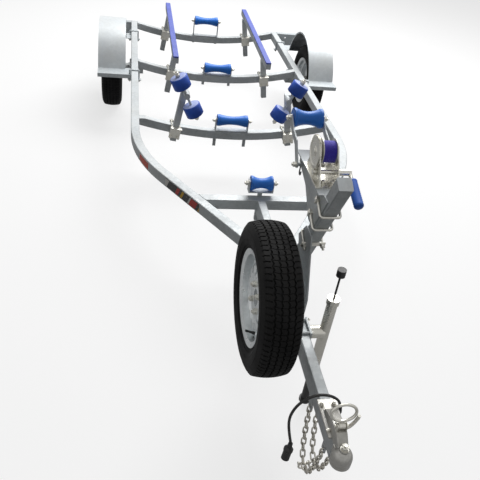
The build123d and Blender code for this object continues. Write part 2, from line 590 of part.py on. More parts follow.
def build_winch_strap():
    """The wound strap between the drum's flanges."""
    x = DRUM_HALF - 3.5
    roll = rod((-x, at(DRUM_STATION), DRUM_Z), (x, at(DRUM_STATION), DRUM_Z), 40)
    return roll - rod((-50, at(DRUM_STATION), DRUM_Z), (50, at(DRUM_STATION), DRUM_Z), 14)


def build_winch_crank():
    """The pinion, its shaft, the arm and the hand grip."""
    centre = (at(PINION_STATION), PINION_Z)
    shape = rod((-FRAME_X - 18, *centre), (CRANK_X + 4, *centre), 8)
    shape += rod((-FRAME_X - 16, *centre), (-FRAME_X - 5, *centre), PINION_RADIUS - 1)
    shape += rod((FRAME_X + 6, *centre), (CRANK_X + 4, *centre), 12)
    reach = Vector(0, -0.95, -0.31).normalized()
    start = Vector(CRANK_X, *centre)
    grip = start + reach * CRANK_LENGTH
    shape += rod(tuple(start), tuple(grip), 7)
    return shape + rod(tuple(start + reach * 40), tuple(grip), 16)


parts["winch_post"] = build_winch_post()
parts["winch_mount"] = build_winch_mount()
parts["bow_roller_arms"] = build_bow_arms()
parts["bow_roller"] = Pos(0, at(BOW_STATION), BOW_Z) * spool(BOW_LENGTH / 2, BOW_RADIUS, BOW_WAIST, BOW_PIN + SHAFT_FIT)
parts["winch_frame"] = build_winch_frame()
parts["winch_drum"] = build_winch_drum()
parts["winch_strap"] = build_winch_strap()
parts["winch_crank"] = build_winch_crank()


# ---- spare wheel ------------------------------------------------------------------------------------
def build_spare_carrier():
    """A plate clamped to the winch post and the stub that the spare wheel bolts to."""
    half = WINCH_POST_SIZE / 2
    face = SPARE_X - DISC_OFFSET
    outline = ((post_station(840) + 30, 840), (post_station(840) - 42, 840), (SPARE_STATION - 45, SPARE_Z + 30),
               (SPARE_STATION - 45, SPARE_Z - 40), (SPARE_STATION + 45, SPARE_Z - 40), (post_station(760) + 50, 760))
    plate = plate_yz(outline, -half - PLATE, -half)
    stub = rod((-half, at(SPARE_STATION), SPARE_Z), (face + 6, at(SPARE_STATION), SPARE_Z), 22)
    flange = rod((face + 6, at(SPARE_STATION), SPARE_Z), (face, at(SPARE_STATION), SPARE_Z), 66)
    return plate + stub + flange


spare_at = Pos(SPARE_X, at(SPARE_STATION), SPARE_Z) * Rot(0, 0, 180)
parts["spare_carrier"] = build_spare_carrier()
parts["spare_rim"] = spare_at * build_rim()
parts["spare_tyre"] = spare_at * build_tyre()


# ---- jack -------------------------------------------------------------------------------------------
def build_jack_clamp():
    """The plate on the drawbar's side that the swivelling jack turns on."""
    half = DRAWBAR_WIDTH / 2
    y = at(JACK_STATION)
    plate = block(half, half + 8, y - 45, y + 45, DRAWBAR_BOTTOM - 12, RAIL_TOP + 12)
    backing = block(-half - 6, -half, y - 45, y + 45, DRAWBAR_BOTTOM - 12, RAIL_TOP + 12)
    pin = rod((half, y, JACK_PIVOT_Z), (JACK_X - JACK_TUBE - 8, y, JACK_PIVOT_Z), 12)
    bolts = [rod((-half - 12, y + dy, z), (half + 14, y + dy, z), 5)
             for dy in (-36, 36) for z in (DRAWBAR_BOTTOM - 6, RAIL_TOP + 6)]
    return plate + backing + pin + bolts


def build_jack_tube():
    """The jack's outer tube, its collar and the bored boss that turns on the pin."""
    y = at(JACK_STATION)
    half = DRAWBAR_WIDTH / 2
    outer = rod((JACK_X, y, JACK_BOTTOM), (JACK_X, y, JACK_TOP), JACK_TUBE)
    collar = rod((JACK_X, y, JACK_TOP), (JACK_X, y, JACK_TOP + 26), JACK_TUBE + 4)
    boss = rod((half + 9, y, JACK_PIVOT_Z), (JACK_X - 4, y, JACK_PIVOT_Z), 26)
    shape = outer + boss + collar
    shape -= rod((half, y, JACK_PIVOT_Z), (JACK_X - JACK_TUBE - 7, y, JACK_PIVOT_Z), 12 + SHAFT_FIT)
    shape -= rod((JACK_X, y, JACK_BOTTOM - 10), (JACK_X, y, JACK_TOP + 6), JACK_TUBE - JACK_WALL)
    return shape - rod((JACK_X, y, JACK_TOP), (JACK_X, y, JACK_TOP + 40), 4 + SHAFT_FIT)


def build_jack_leg():
    """The sliding inner leg with its foot, lift rod and knob."""
    y = at(JACK_STATION)
    leg = rod((JACK_X, y, 14), (JACK_X, y, JACK_TOP - 190), JACK_TUBE - JACK_WALL - SHAFT_FIT)
    foot = rod((JACK_X, y, 0), (JACK_X, y, 14), JACK_FOOT)
    lift = rod((JACK_X, y, JACK_TOP - 200), (JACK_X, y, 712), 4)
    return leg + foot + lift + rod((JACK_X, y, 706), (JACK_X, y, 736), 17)


parts["jack_clamp"] = build_jack_clamp()
parts["jack_tube"] = build_jack_tube()
parts["jack_leg"] = build_jack_leg()


# ---- coupling -----------------------------------------------------------------------------------------
def build_coupling():
    """A cast ball coupling bolted on top of the drawbar, with a round socket from below."""
    base = block(-33, 33, at(-3525), at(-3375), RAIL_TOP, RAIL_TOP + 8)
    neck = block(-20, 20, at(BALL_STATION), at(-3420), RAIL_TOP + 8, RAIL_TOP + 45)
    head = Pos(0, at(BALL_STATION), RAIL_TOP - 6) * Cylinder(BALL_STATION - COUPLING_NOSE, 80)
    bridge = block(-24, 24, at(BALL_STATION), at(DRAWBAR_FRONT - 2), RAIL_TOP - 30, RAIL_TOP + 30)
    shape = base + neck + head + bridge
    socket = Pos(0, at(BALL_STATION), RAIL_TOP - 22) * Sphere(BALL_RADIUS + SHAFT_FIT)
    mouth = rod((0, at(BALL_STATION), RAIL_TOP - 60), (0, at(BALL_STATION), RAIL_TOP - 22), BALL_RADIUS + SHAFT_FIT)
    return shape - socket - mouth


def build_coupling_handle():
    """The lift handle over the coupling."""
    y0, y1, z0 = at(-3550), at(-3440), RAIL_TOP + 45
    shape = rod((0, y0, z0), (0, y0, z0 + 60), 8) + rod((0, y0, z0 + 52), (0, y1, z0 + 70), 8)
    return shape


parts["coupling"] = build_coupling()
parts["coupling_handle"] = build_coupling_handle()


# ---- safety chains --------------------------------------------------------------------------------------
# Each row: x of a chain, station and height of its rear and front eyes, how many links hang between them.
CHAINS = ((-LUG_X, -3312.0, 330.0, -3490.0, 338.0, 21),
          (LUG_X, -3312.0, 330.0, -3500.0, 338.0, 19))


def build_lug(x, station, eye_z):
    """A plate under the drawbar with the eye that a chain's end link passes through."""
    plate = block(x - LUG_SHEET / 2, x + LUG_SHEET / 2, at(station - 14), at(station + 14), eye_z - LINK_WIRE - 3.5,
                  DRAWBAR_BOTTOM)
    hole_z = eye_z + 2 * LINK_WIRE
    return plate - rod((x - LUG_SHEET, at(station), hole_z), (x + LUG_SHEET, at(station), hole_z), 2 * LINK_WIRE + 0.9)


def build_link():
    """One link about the origin, its length along Z and its wire loop in the XZ plane."""
    bend = LINK_WIDTH / 2 + LINK_WIRE
    straight = LINK_INNER / 2 + LINK_WIRE - bend
    loop = Polyline((bend, -straight), (bend, straight))
    loop += ThreePointArc((bend, straight), (0, straight + bend), (-bend, straight))
    loop += Polyline((-bend, straight), (-bend, -straight))
    loop += ThreePointArc((-bend, -straight), (0, -straight - bend), (bend, -straight))
    path = Plane.XZ * Wire(loop.edges())
    section = Plane(origin=(bend, 0, -straight), z_dir=(0, 0, 1)) * Circle(LINK_WIRE)
    return sweep(section, path=path)


def hang(span, rise, length):
    """The sag, middle and level of a catenary of a given length between two eyes."""
    low, high = 1.0, 10000.0
    for _ in range(80):
        sag = (low + high) / 2
        if 2 * sag * math.sinh(min(span / 2 / sag, 300.0)) > math.sqrt(length ** 2 - rise ** 2):
            low = sag
        else:
            high = sag
    middle = span / 2 - sag * math.atanh(rise / length)
    return sag, middle, -sag * math.cosh(middle / sag)


def build_chain(x, rear_station, rear_z, front_station, front_z, count):
    """Links hanging between two eyes, each turned a quarter from the last."""
    length = count * (LINK_INNER - LINK_SLACK)
    sag, middle, level = hang(rear_station - front_station, front_z - rear_z, length)
    joints = []
    for index in range(count + 1):
        along = index * length / count - sag * math.sinh(middle / sag)
        forward = middle + sag * math.asinh(along / sag)
        height = level + sag * math.cosh((forward - middle) / sag)
        joints.append(Vector(x, at(rear_station - forward), rear_z + height))
    link, links = build_link(), []
    for index, (start, end) in enumerate(zip(joints, joints[1:])):
        plane = Plane(origin=(start + end) / 2, x_dir=(1, 0, 0), z_dir=(end - start).normalized())
        links.append(plane * Rot(0, 0, 90 * (index % 2)) * link)
    return links


eyes = [(x, station, z) for x, rear, rear_z, front, front_z, _ in CHAINS
        for station, z in ((rear, rear_z), (front, front_z))]
parts["chain_lugs"] = Compound(children=[build_lug(*eye) for eye in eyes])
parts["safety_chains"] = Compound(children=[link for row in CHAINS for link in build_chain(*row)])


# ---- wiring lead ----------------------------------------------------------------------------------------
def build_lead():
    """The loose lead, as straight runs joined by arcs, each as large as its runs allow."""
    route = [Vector(x, at(station), z) for x, station, z in (LEAD_EXIT, *LEAD_BENDS, LEAD_END)]
    radii = []
    for before, corner, after in zip(route, route[1:], route[2:]):
        turn = math.radians((corner - before).get_angle(after - corner))
        radii.append(0.45 * min((corner - before).length, (after - corner).length) / math.tan(turn / 2))
    print("lead radii", [round(radius, 1) for radius in radii])
    path = FilletPolyline(*route, radius=radii)
    tube = sweep(Plane(origin=path @ 0, z_dir=path % 0) * Circle(LEAD_RADIUS), path=path)
    print("lead length", round(path.length, 1), "volume ratio", tube.volume / (math.pi * LEAD_RADIUS ** 2 * path.length))
    return tube


def build_plug():
    """The plug on the lead's end: a tapered sleeve and a wider ribbed barrel."""
    start = Vector(LEAD_END[0], at(LEAD_END[1]), LEAD_END[2])
    end = Vector(PLUG_TIP[0], at(PLUG_TIP[1]), PLUG_TIP[2])
    length = (end - start).length
    outline = Polyline((0, 0), (8, 0), (9, 18), (17, 24), (17, 34), (15, 36), (15, length), (0, length), close=True)
    return Plane(origin=start, z_dir=(end - start).normalized()) * revolve(
        make_face(Plane.XZ * outline), Axis.Z)


def build_gland():
    """The rubber elbow on the drawbar's side that the lead comes out of."""
    x, station, z = LEAD_EXIT
    arm = rod((DRAWBAR_WIDTH / 2, at(station), z - 12), (x, at(station), z - 12), 9)
    return arm + Pos(x, at(station), z - 12) * Sphere(9) + rod((x, at(station), z - 12), (x, at(station), z), 8)


parts["wiring_lead"] = build_lead()
parts["wiring_plug"] = build_plug()
parts["lead_gland"] = build_gland()

os.makedirs("parts", exist_ok=True)
for node, shape in parts.items():
    export_step(shape, f"parts/{node}.step")
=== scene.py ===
"""Studio scene of a galvanised boat trailer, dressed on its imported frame.

Lengths are in metres in the trailer's own frame: +Z up, the coupling towards -Y and the trailer's left
side at +X. Stations, as in the trailer's drawings, count from the axle and grow towards the rear.
"""
from __future__ import annotations

import json
import logging
import math
from dataclasses import dataclass
from enum import Enum
from itertools import product
from typing import Callable, Iterable, Sequence

import bmesh
import bpy
from mathutils import Matrix, Vector

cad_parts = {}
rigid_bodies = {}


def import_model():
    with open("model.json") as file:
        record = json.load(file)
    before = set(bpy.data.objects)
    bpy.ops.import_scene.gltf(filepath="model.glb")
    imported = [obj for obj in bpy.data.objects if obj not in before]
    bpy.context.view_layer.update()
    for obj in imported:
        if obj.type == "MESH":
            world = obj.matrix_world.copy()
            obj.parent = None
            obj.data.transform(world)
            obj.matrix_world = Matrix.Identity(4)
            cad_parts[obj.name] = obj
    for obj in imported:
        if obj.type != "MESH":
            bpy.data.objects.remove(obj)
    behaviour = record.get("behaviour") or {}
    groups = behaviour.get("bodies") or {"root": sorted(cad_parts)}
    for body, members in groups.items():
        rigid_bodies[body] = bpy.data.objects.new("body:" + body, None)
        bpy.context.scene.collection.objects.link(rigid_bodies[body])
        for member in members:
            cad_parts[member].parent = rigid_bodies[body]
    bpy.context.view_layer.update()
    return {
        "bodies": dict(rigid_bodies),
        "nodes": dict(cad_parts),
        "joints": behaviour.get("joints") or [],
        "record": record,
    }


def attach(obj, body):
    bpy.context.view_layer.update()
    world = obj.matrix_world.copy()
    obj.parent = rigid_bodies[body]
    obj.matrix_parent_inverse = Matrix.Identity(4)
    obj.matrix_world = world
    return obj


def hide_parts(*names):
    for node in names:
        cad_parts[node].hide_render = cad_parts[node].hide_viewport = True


LOG = logging.getLogger("boat_trailer")
AXLE_Y = 1.405
SIDES = ((1, "left"), (-1, "right"))
Point = tuple[float, float, float]
Flat = tuple[float, float]

WHEEL_Z = 0.286                     # height of the road wheels' axle
POST_LEAN = math.radians(26.7)      # how far the winch post leans forward from upright
POST_FOOT = -2735.0                 # station of its middle line at the drawbar's top, in millimetres
DRAWBAR_TOP = 445.0
BAR_TILT = math.radians(63.0)       # the side rollers' bars, up from level
CROSS_ARC = 2346.66                 # radius of the bowed cross-members' middle line, in millimetres


def at(station: float) -> float:
    """The y of a station that counts from the axle."""
    return AXLE_Y + station


def spot(x: float, station: float, z: float) -> Vector:
    """A point in metres from its x, station and height in millimetres."""
    return Vector((x / 1000, at(station / 1000), z / 1000))


def up_post(rise: float) -> Vector:
    """The winch post's middle line at a rise over the drawbar: x, station and height in millimetres."""
    return Vector((0, POST_FOOT - math.tan(POST_LEAN) * rise, DRAWBAR_TOP + rise))


def post_seat(x: float, centre: float) -> Flat:
    """Where a bowed cross-member's middle line runs at an x.

    Args:
        x: the place across the trailer, in millimetres.
        centre: the line's height on the trailer's middle.

    Returns:
        Its slope there, as an angle, and its height in millimetres.
    """
    return math.asin(x / CROSS_ARC), centre + CROSS_ARC - math.sqrt(CROSS_ARC ** 2 - x * x)


# Rows of station, x and the cross-member's height, for the posts that are clamped to it.
CLAMPED_POSTS = ((725.0, 362.0, 337.5), (-218.0, 362.0, 337.5), (-1079.0, 377.0, 287.5))
CLAMP_RODS = (25.5, 33.0)           # how far a clamp's rods stand off its middle, across and up
# Rows of rise on the winch post, the way that the U-bolt's legs point and how near its strip lies.
U_BOLTS = ((530.0, 1, 30.0), (450.0, 1, 30.0), (345.0, -1, 25.0))
U_BOLT_LEG = 35.5
U_BOLT_STRIP = 6.0
DRUM: Point = (0.0, at(-2.858), 1.119)
SPARE_WHEEL: Point = (-0.172, at(-3.030), 0.603)


def srgb(code: str) -> tuple[float, float, float, float]:
    """A linear colour with alpha from a six-digit screen colour."""
    values = [int(code[i:i + 2], 16) / 255 for i in (0, 2, 4)]
    linear = [v / 12.92 if v <= 0.04045 else ((v + 0.055) / 1.055) ** 2.4 for v in values]
    return (*linear, 1.0)


# ---- node building ------------------------------------------------------------------------


class Graph:
    """A thin wrapper that adds, sets and links the nodes of one tree."""

    def __init__(self, tree: bpy.types.NodeTree) -> None:
        """Wraps a node tree."""
        self.tree = tree

    def add(self, kind: str, settings: dict | None = None, **inputs: object) -> bpy.types.Node:
        """Adds a node.

        Args:
            kind: the node's type identifier.
            settings: attributes set on the node, such as its operation.
            inputs: values or output sockets for the node's inputs, with _ for a blank.

        Returns:
            The new node.
        """
        node = self.tree.nodes.new(kind)
        for name, value in (settings or {}).items():
            setattr(node, name, value)
        for name, value in inputs.items():
            self.feed(node, name.replace("_", " "), value)
        return node

    def feed(self, node: bpy.types.Node, name: str | int, value: object) -> None:
        """Links a socket to one of a node's inputs, or sets the input's value.

        Args:
            node: the node.
            name: the input's name or index.
            value: a value or an output socket.
        """
        socket = node.inputs[name]
        if isinstance(value, bpy.types.NodeSocket):
            self.tree.links.new(value, socket)
        else:
            socket.default_value = value

    def math(self, operation: str, first: object, second: object = 0.0,
             third: object = 0.0) -> bpy.types.NodeSocket:
        """Adds a Math node.

        Args:
            operation: what it works out.
            first: its first value or socket.
            second: its second one.
            third: its third one.

        Returns:
            The result's socket.
        """
        node = self.add("ShaderNodeMath", {"operation": operation})
        for index, value in enumerate((first, second, third)):
            self.feed(node, index, value)
        return node.outputs[0]

    def remap(self, value: object, low: float, high: float, to_low: object,
              to_high: object) -> bpy.types.NodeSocket:
        """Maps a value from one range to another, clamped.

        Args:
            value: the value or socket.
            low: the first range's start.
            high: its end.
            to_low: the second range's start.
            to_high: its end.

        Returns:
            The result's socket.
        """
        ends = {"From_Min": low, "From_Max": high, "To_Min": to_low, "To_Max": to_high}
        return self.add("ShaderNodeMapRange", None, Value=value, **ends).outputs[0]

    def blend(self, factor: object, first: object, second: object, mode: str = "MIX") -> bpy.types.NodeSocket:
        """Mixes two colours.

        Args:
            factor: the second colour's share.
            first: the first colour.
            second: the second colour.
            mode: how they are mixed.

        Returns:
            The result's socket.
        """
        node = self.add("ShaderNodeMix", {"data_type": "RGBA", "blend_type": mode})
        self.feed(node, 0, factor)
        self.feed(node, 6, first)
        self.feed(node, 7, second)
        return node.outputs[2]


def bare_graph(block: bpy.types.Material | bpy.types.World) -> Graph:
    """The emptied node tree of a material or a world."""
    block.use_nodes = True
    block.node_tree.nodes.clear()
    return Graph(block.node_tree)


def linked(name: str, data: bpy.types.ID) -> bpy.types.Object:
    """A new object in the scene, with its data."""
    made = bpy.data.objects.new(name, data)
    bpy.context.scene.collection.objects.link(made)
    return made


@dataclass(frozen=True)
class Socket:
    """One named socket of a node group."""

    name: str
    kind: str = "NodeSocketFloat"
    value: object = 0.0


PLACE = Socket("Vector", "NodeSocketVector", (0, 0, 0))


def new_group(name: str, takes: Sequence[Socket], gives: Sequence[Socket], kind: str = "ShaderNodeTree"
              ) -> tuple[Graph, bpy.types.Node, bpy.types.Node]:
    """Makes an empty node group.

    Args:
        name: the group's name.
        takes: its inputs.
        gives: its outputs.
        kind: the tree's type.

    Returns:
        The graph, its input node and its output node.
    """
    tree = bpy.data.node_groups.new(name, kind)
    for sockets, side in ((takes, "INPUT"), (gives, "OUTPUT")):
        for socket in sockets:
            made = tree.interface.new_socket(socket.name, in_out=side, socket_type=socket.kind)
            if side == "INPUT" and hasattr(made, "default_value") and socket.kind != "NodeSocketGeometry":
                made.default_value = socket.value
    graph = Graph(tree)
    return graph, graph.add("NodeGroupInput"), graph.add("NodeGroupOutput")


def spangle_group() -> bpy.types.NodeTree:
    """Zinc crystals with slow staining: a colour, a roughness and a height."""
    takes = (PLACE, Socket("Light", "NodeSocketColor", (1, 1, 1, 1)),
             Socket("Dark", "NodeSocketColor", (0.4, 0.4, 0.4, 1)), Socket("Crystals", value=90.0),
             Socket("Stains", value=5.0), Socket("Contrast", value=0.5), Socket("Smoothest", value=0.36),
             Socket("Roughest", value=0.62))
    gives = (Socket("Color", "NodeSocketColor"), Socket("Roughness"), Socket("Height"))
    graph, take, give = new_group("Zinc spangle", takes, gives)
    place = take.outputs["Vector"]
    crystal = graph.add("ShaderNodeTexVoronoi", None, Vector=place, Scale=take.outputs["Crystals"])
    tint = graph.add("ShaderNodeSeparateColor", None, Color=crystal.outputs["Color"]).outputs[0]
    stain = graph.add("ShaderNodeTexNoise", None, Vector=place, Scale=take.outputs["Stains"], Detail=6.0,
                      Roughness=0.6).outputs["Fac"]
    cloud = graph.remap(stain, 0.35, 0.7, 0.0, 1.0)
    mixed = graph.math("MULTIPLY_ADD", tint, 0.35, graph.math("MULTIPLY", cloud, 0.65))
    shade = graph.math("MULTIPLY", mixed, take.outputs["Contrast"])
    graph.feed(give, "Color", graph.blend(shade, take.outputs["Light"], take.outputs["Dark"]))
    rough = graph.remap(mixed, 0.0, 1.0, take.outputs["Smoothest"], take.outputs["Roughest"])
    graph.feed(give, "Roughness", rough)
    graph.feed(give, "Height", graph.math("ADD", graph.math("MULTIPLY", tint, 0.4), stain))
    return graph.tree


def grain_group() -> bpy.types.NodeTree:
    """Moulded grain: a height and a slow variation of tone."""
    takes = (PLACE, Socket("Scale", value=400.0), Socket("Patches", value=8.0))
    gives = (Socket("Height"), Socket("Tone"))
    graph, take, give = new_group("Moulded grain", takes, gives)
    place = take.outputs["Vector"]
    fine = graph.add("ShaderNodeTexNoise", None, Vector=place, Scale=take.outputs["Scale"], Detail=3.0)
    slow = graph.add("ShaderNodeTexNoise", None, Vector=place, Scale=take.outputs["Patches"], Detail=4.0)
    graph.feed(give, "Height", fine.outputs["Fac"])
    graph.feed(give, "Tone", graph.remap(slow.outputs["Fac"], 0.3, 0.7, 0.0, 1.0))
    return graph.tree


def dust_group() -> bpy.types.NodeTree:
    """Dust that settles on upward faces in patches: a mask."""
    takes = (PLACE, Socket("Scale", value=6.0), Socket("Amount", value=0.3))
    graph, take, give = new_group("Settled dust", takes, (Socket("Mask"),))
    normal = graph.add("ShaderNodeNewGeometry").outputs["Normal"]
    up = graph.add("ShaderNodeSeparateXYZ", None, Vector=normal).outputs["Z"]
    noise = graph.add("ShaderNodeTexNoise", None, Vector=take.outputs["Vector"], Scale=take.outputs["Scale"],
                      Detail=7.0, Roughness=0.7).outputs["Fac"]
    facing = graph.remap(up, -0.4, 0.9, 0.15, 1.0)
    patch = graph.remap(noise, 0.4, 0.75, 0.0, 1.0)
    settled = graph.math("MULTIPLY", facing, patch)
    graph.feed(give, "Mask", graph.math("MULTIPLY", settled, take.outputs["Amount"]))
    return graph.tree


def weave_group() -> bpy.types.NodeTree:
    """Flat woven tape from a UV map, in threads: a height and a tone."""
    takes = (PLACE, Socket("Threads", value=40.0))
    graph, take, give = new_group("Tape weave", takes, (Socket("Height"), Socket("Tone")))
    waves = []
    for direction in ("X", "Y"):
        wave = graph.add("ShaderNodeTexWave", {"bands_direction": direction}, Vector=take.outputs["Vector"],
                         Scale=take.outputs["Threads"], Distortion=0.4)
        waves.append(wave.outputs["Fac"])
    graph.feed(give, "Height", graph.math("MAXIMUM", waves[0], graph.math("MULTIPLY", waves[1], 0.8)))
    graph.feed(give, "Tone", graph.math("MULTIPLY", waves[0], waves[1]))
    return graph.tree


GROUPS: dict[str, Callable[[], bpy.types.NodeTree]] = {
    "Zinc spangle": spangle_group, "Moulded grain": grain_group, "Settled dust": dust_group,
    "Tape weave": weave_group}


def place_group(graph: Graph, name: str, **inputs: object) -> bpy.types.Node:
    """Places a shared node group in a material, building the group the first time.

    Args:
        graph: the material's graph.
        name: the group's name.
        inputs: values or output sockets for its inputs.

    Returns:
        The group's node.
    """
    tree = bpy.data.node_groups.get(name) or GROUPS[name]()
    node = graph.tree.nodes.new("ShaderNodeGroup")
    node.node_tree = tree
    for key, value in inputs.items():
        graph.feed(node, key, value)
    return node


# ---- finishes -----------------------------------------------------------------------------


@dataclass(frozen=True)
class Finish:
    """A surface finish; build() gives its material, made once."""

    name: str
    colour: str
    dark: str
    roughness: float = 0.5
    metallic: float = 0.0

    def build(self) -> bpy.types.Material:
        """The finish's material."""
        found = bpy.data.materials.get(self.name)
        if found:
            return found
        material = bpy.data.materials.new(self.name)
        graph = bare_graph(material)
        shader = graph.add("ShaderNodeBsdfPrincipled", None, Metallic=self.metallic, Roughness=self.roughness)
        output = graph.add("ShaderNodeOutputMaterial")
        graph.feed(output, "Surface", shader.outputs[0])
        self.wire(graph, shader, graph.add("ShaderNodeTexCoord").outputs["Object"])
        return material

    def wire(self, graph: Graph, shader: bpy.types.Node, place: bpy.types.NodeSocket) -> None:
        """Feeds the shader. Each kind of finish has its own way.

        Args:
            graph: the material's graph.
            shader: its shader.
            place: the socket of the point being shaded.
        """
        raise NotImplementedError

    @staticmethod
    def bump(graph: Graph, shader: bpy.types.Node, height: object, strength: float,
             distance: float) -> None:
        """Adds relief from a height.

        Args:
            graph: the material's graph.
            shader: the shader that it goes to.
            height: the height's socket.
            strength: how strong it looks.
            distance: how deep it is, in metres.
        """
        node = graph.add("ShaderNodeBump", None, Strength=strength, Distance=distance, Height=height)
        graph.feed(shader, "Normal", node.outputs[0])


@dataclass(frozen=True)
class Zinc(Finish):
    """Hot-dip galvanised or zinc-plated steel."""

    crystals: float = 90.0
    stains: float = 5.0
    contrast: float = 0.6

    def wire(self, graph: Graph, shader: bpy.types.Node, place: bpy.types.NodeSocket) -> None:
        """Spangle, staining and dust."""
        spangle = place_group(graph, "Zinc spangle", Vector=place, Light=srgb(self.colour),
                              Dark=srgb(self.dark), Crystals=self.crystals, Stains=self.stains,
                              Contrast=self.contrast,
                              Smoothest=self.roughness - 0.12, Roughest=self.roughness + 0.14)
        dust = place_group(graph, "Settled dust", Vector=place, Scale=9.0, Amount=0.25)
        dusted = graph.blend(dust.outputs[0], spangle.outputs["Color"], srgb("B9B4A8"))
        graph.feed(shader, "Base Color", dusted)
        graph.feed(shader, "Roughness", spangle.outputs["Roughness"])
        self.bump(graph, shader, spangle.outputs["Height"], 0.25, 0.0006)


@dataclass(frozen=True)
class Moulding(Finish):
    """Moulded plastic or rubber with a fine grain."""

    grain: float = 420.0
    relief: float = 0.15
    dusty: float = 0.15
    specular: float = 0.5

    def wire(self, graph: Graph, shader: bpy.types.Node, place: bpy.types.NodeSocket) -> None:
        """Grain, tone patches and dust."""
        shader.inputs["Specular IOR Level"].default_value = self.specular
        grain = place_group(graph, "Moulded grain", Vector=place, Scale=self.grain, Patches=9.0)
        toned = graph.blend(grain.outputs["Tone"], srgb(self.colour), srgb(self.dark))
        dust = place_group(graph, "Settled dust", Vector=place, Scale=22.0, Amount=self.dusty)
        graph.feed(shader, "Base Color", graph.blend(dust.outputs[0], toned, srgb("8E8B84")))
        rough = graph.remap(grain.outputs["Tone"], 0.0, 1.0, self.roughness - 0.08, self.roughness + 0.08)
        graph.feed(shader, "Roughness", rough)
        self.bump(graph, shader, grain.outputs["Height"], self.relief, 0.0005)


@dataclass(frozen=True)
class Webbing(Finish):
    """Woven tape with a sheen, mapped along its own UV map."""

    threads: float = 30.0

    def wire(self, graph: Graph, shader: bpy.types.Node, place: bpy.types.NodeSocket) -> None:
        """Weave height and tone."""
        uv = graph.add("ShaderNodeTexCoord").outputs["UV"]
        weave = place_group(graph, "Tape weave", Vector=uv, Threads=self.threads)
        woven = graph.blend(weave.outputs["Tone"], srgb(self.dark), srgb(self.colour))
        graph.feed(shader, "Base Color", woven)
        shader.inputs["Sheen Weight"].default_value = 0.3
        self.bump(graph, shader, weave.outputs["Height"], 0.5, 0.0006)


@dataclass(frozen=True)
class GuardSheet(Zinc):
    """Galvanised sheet rolled round an axle, with painted shade on its inner side where it faces the wheel.
    """

    # painted shade: the dark grey given to the guard's inner side, which stands in for its shadow
    inner_shade: str = "45474A"
    axle: Point = (0.0, AXLE_Y, WHEEL_Z)

    def wire(self, graph: Graph, shader: bpy.types.Node, place: bpy.types.NodeSocket) -> None:
        """The sheet's own finish under a mask of painted shade on the inner side."""
        super().wire(graph, shader, place)
        unshaded = shader.inputs["Base Color"].links[0].from_socket
        outward = place
        steps = (("SUBTRACT", self.axle), ("MULTIPLY", (0.0, 1.0, 1.0)), ("NORMALIZE", (0, 0, 0)))
        for operation, other in steps:
            step = graph.add("ShaderNodeVectorMath", {"operation": operation})
            graph.feed(step, 0, outward)
            graph.feed(step, 1, other)
            outward = step.outputs[0]
        facing = graph.add("ShaderNodeVectorMath", {"operation": "DOT_PRODUCT"})
        graph.feed(facing, 0, outward)
        graph.feed(facing, 1, graph.add("ShaderNodeNewGeometry").outputs["Normal"])
        # painted shade: faces that look in towards the axle, which is the guard's inner side, take the dark
        # grey in noisy patches
        inside = graph.remap(facing.outputs["Value"], -0.5, -0.2, 1.0, 0.0)
        shade_patches = graph.add("ShaderNodeTexNoise", None, Vector=place, Scale=14.0, Detail=6.0).outputs["Fac"]
        mask = graph.math("MULTIPLY", inside, graph.remap(shade_patches, 0.3, 0.6, 0.75, 1.0))
        graph.feed(shader, "Base Color", graph.blend(mask, unshaded, srgb(self.inner_shade)))


@dataclass(frozen=True)
class Sticker(Finish):
    """Printed vinyl in plain slanting bands along its own UV map, rubbed at random."""

    bands: tuple[tuple[float, str], ...] = ()
    length: float = 1.0
    slant: float = -0.45
    rim: Flat = (0.44, 0.455)       # where the pale rim starts and is full, from the middle line

    def wire(self, graph: Graph, shader: bpy.types.Node, place: bpy.types.NodeSocket) -> None:
        """Bands from a stepped ramp, with a pale rim and rubbed spots."""
        uv = graph.add("ShaderNodeSeparateXYZ", None, Vector=graph.add("ShaderNodeTexCoord").outputs["UV"])
        slant = graph.math("MULTIPLY_ADD", uv.outputs["Y"], self.slant, uv.outputs["X"])
        ramp = graph.add("ShaderNodeValToRGB", None, Fac=graph.math("DIVIDE", slant, self.length))
        ramp.color_ramp.interpolation = "CONSTANT"
        stops = ramp.color_ramp.elements
        stops[0].position, stops[0].color = self.bands[0][0], srgb(self.bands[0][1])
        stops.remove(stops[1])
        for position, code in self.bands[1:]:
            stops.new(position).color = srgb(code)
        edge = graph.math("ABSOLUTE", graph.math("SUBTRACT", uv.outputs["Y"], 0.5))
        rim = graph.remap(edge, *self.rim, 0.0, 1.0)
        printed = graph.blend(rim, ramp.outputs["Color"], srgb(self.colour))
        grain = place_group(graph, "Moulded grain", Vector=place, Scale=900.0, Patches=70.0)
        worn = graph.remap(grain.outputs["Tone"], 0.82, 1.0, 0.0, 0.5)
        graph.feed(shader, "Base Color", graph.blend(worn, printed, srgb(self.dark)))
        rough = graph.remap(grain.outputs["Tone"], 0.0, 1.0, self.roughness, self.roughness + 0.15)
        graph.feed(shader, "Roughness", rough)
        self.bump(graph, shader, grain.outputs["Height"], 0.1, 0.0002)


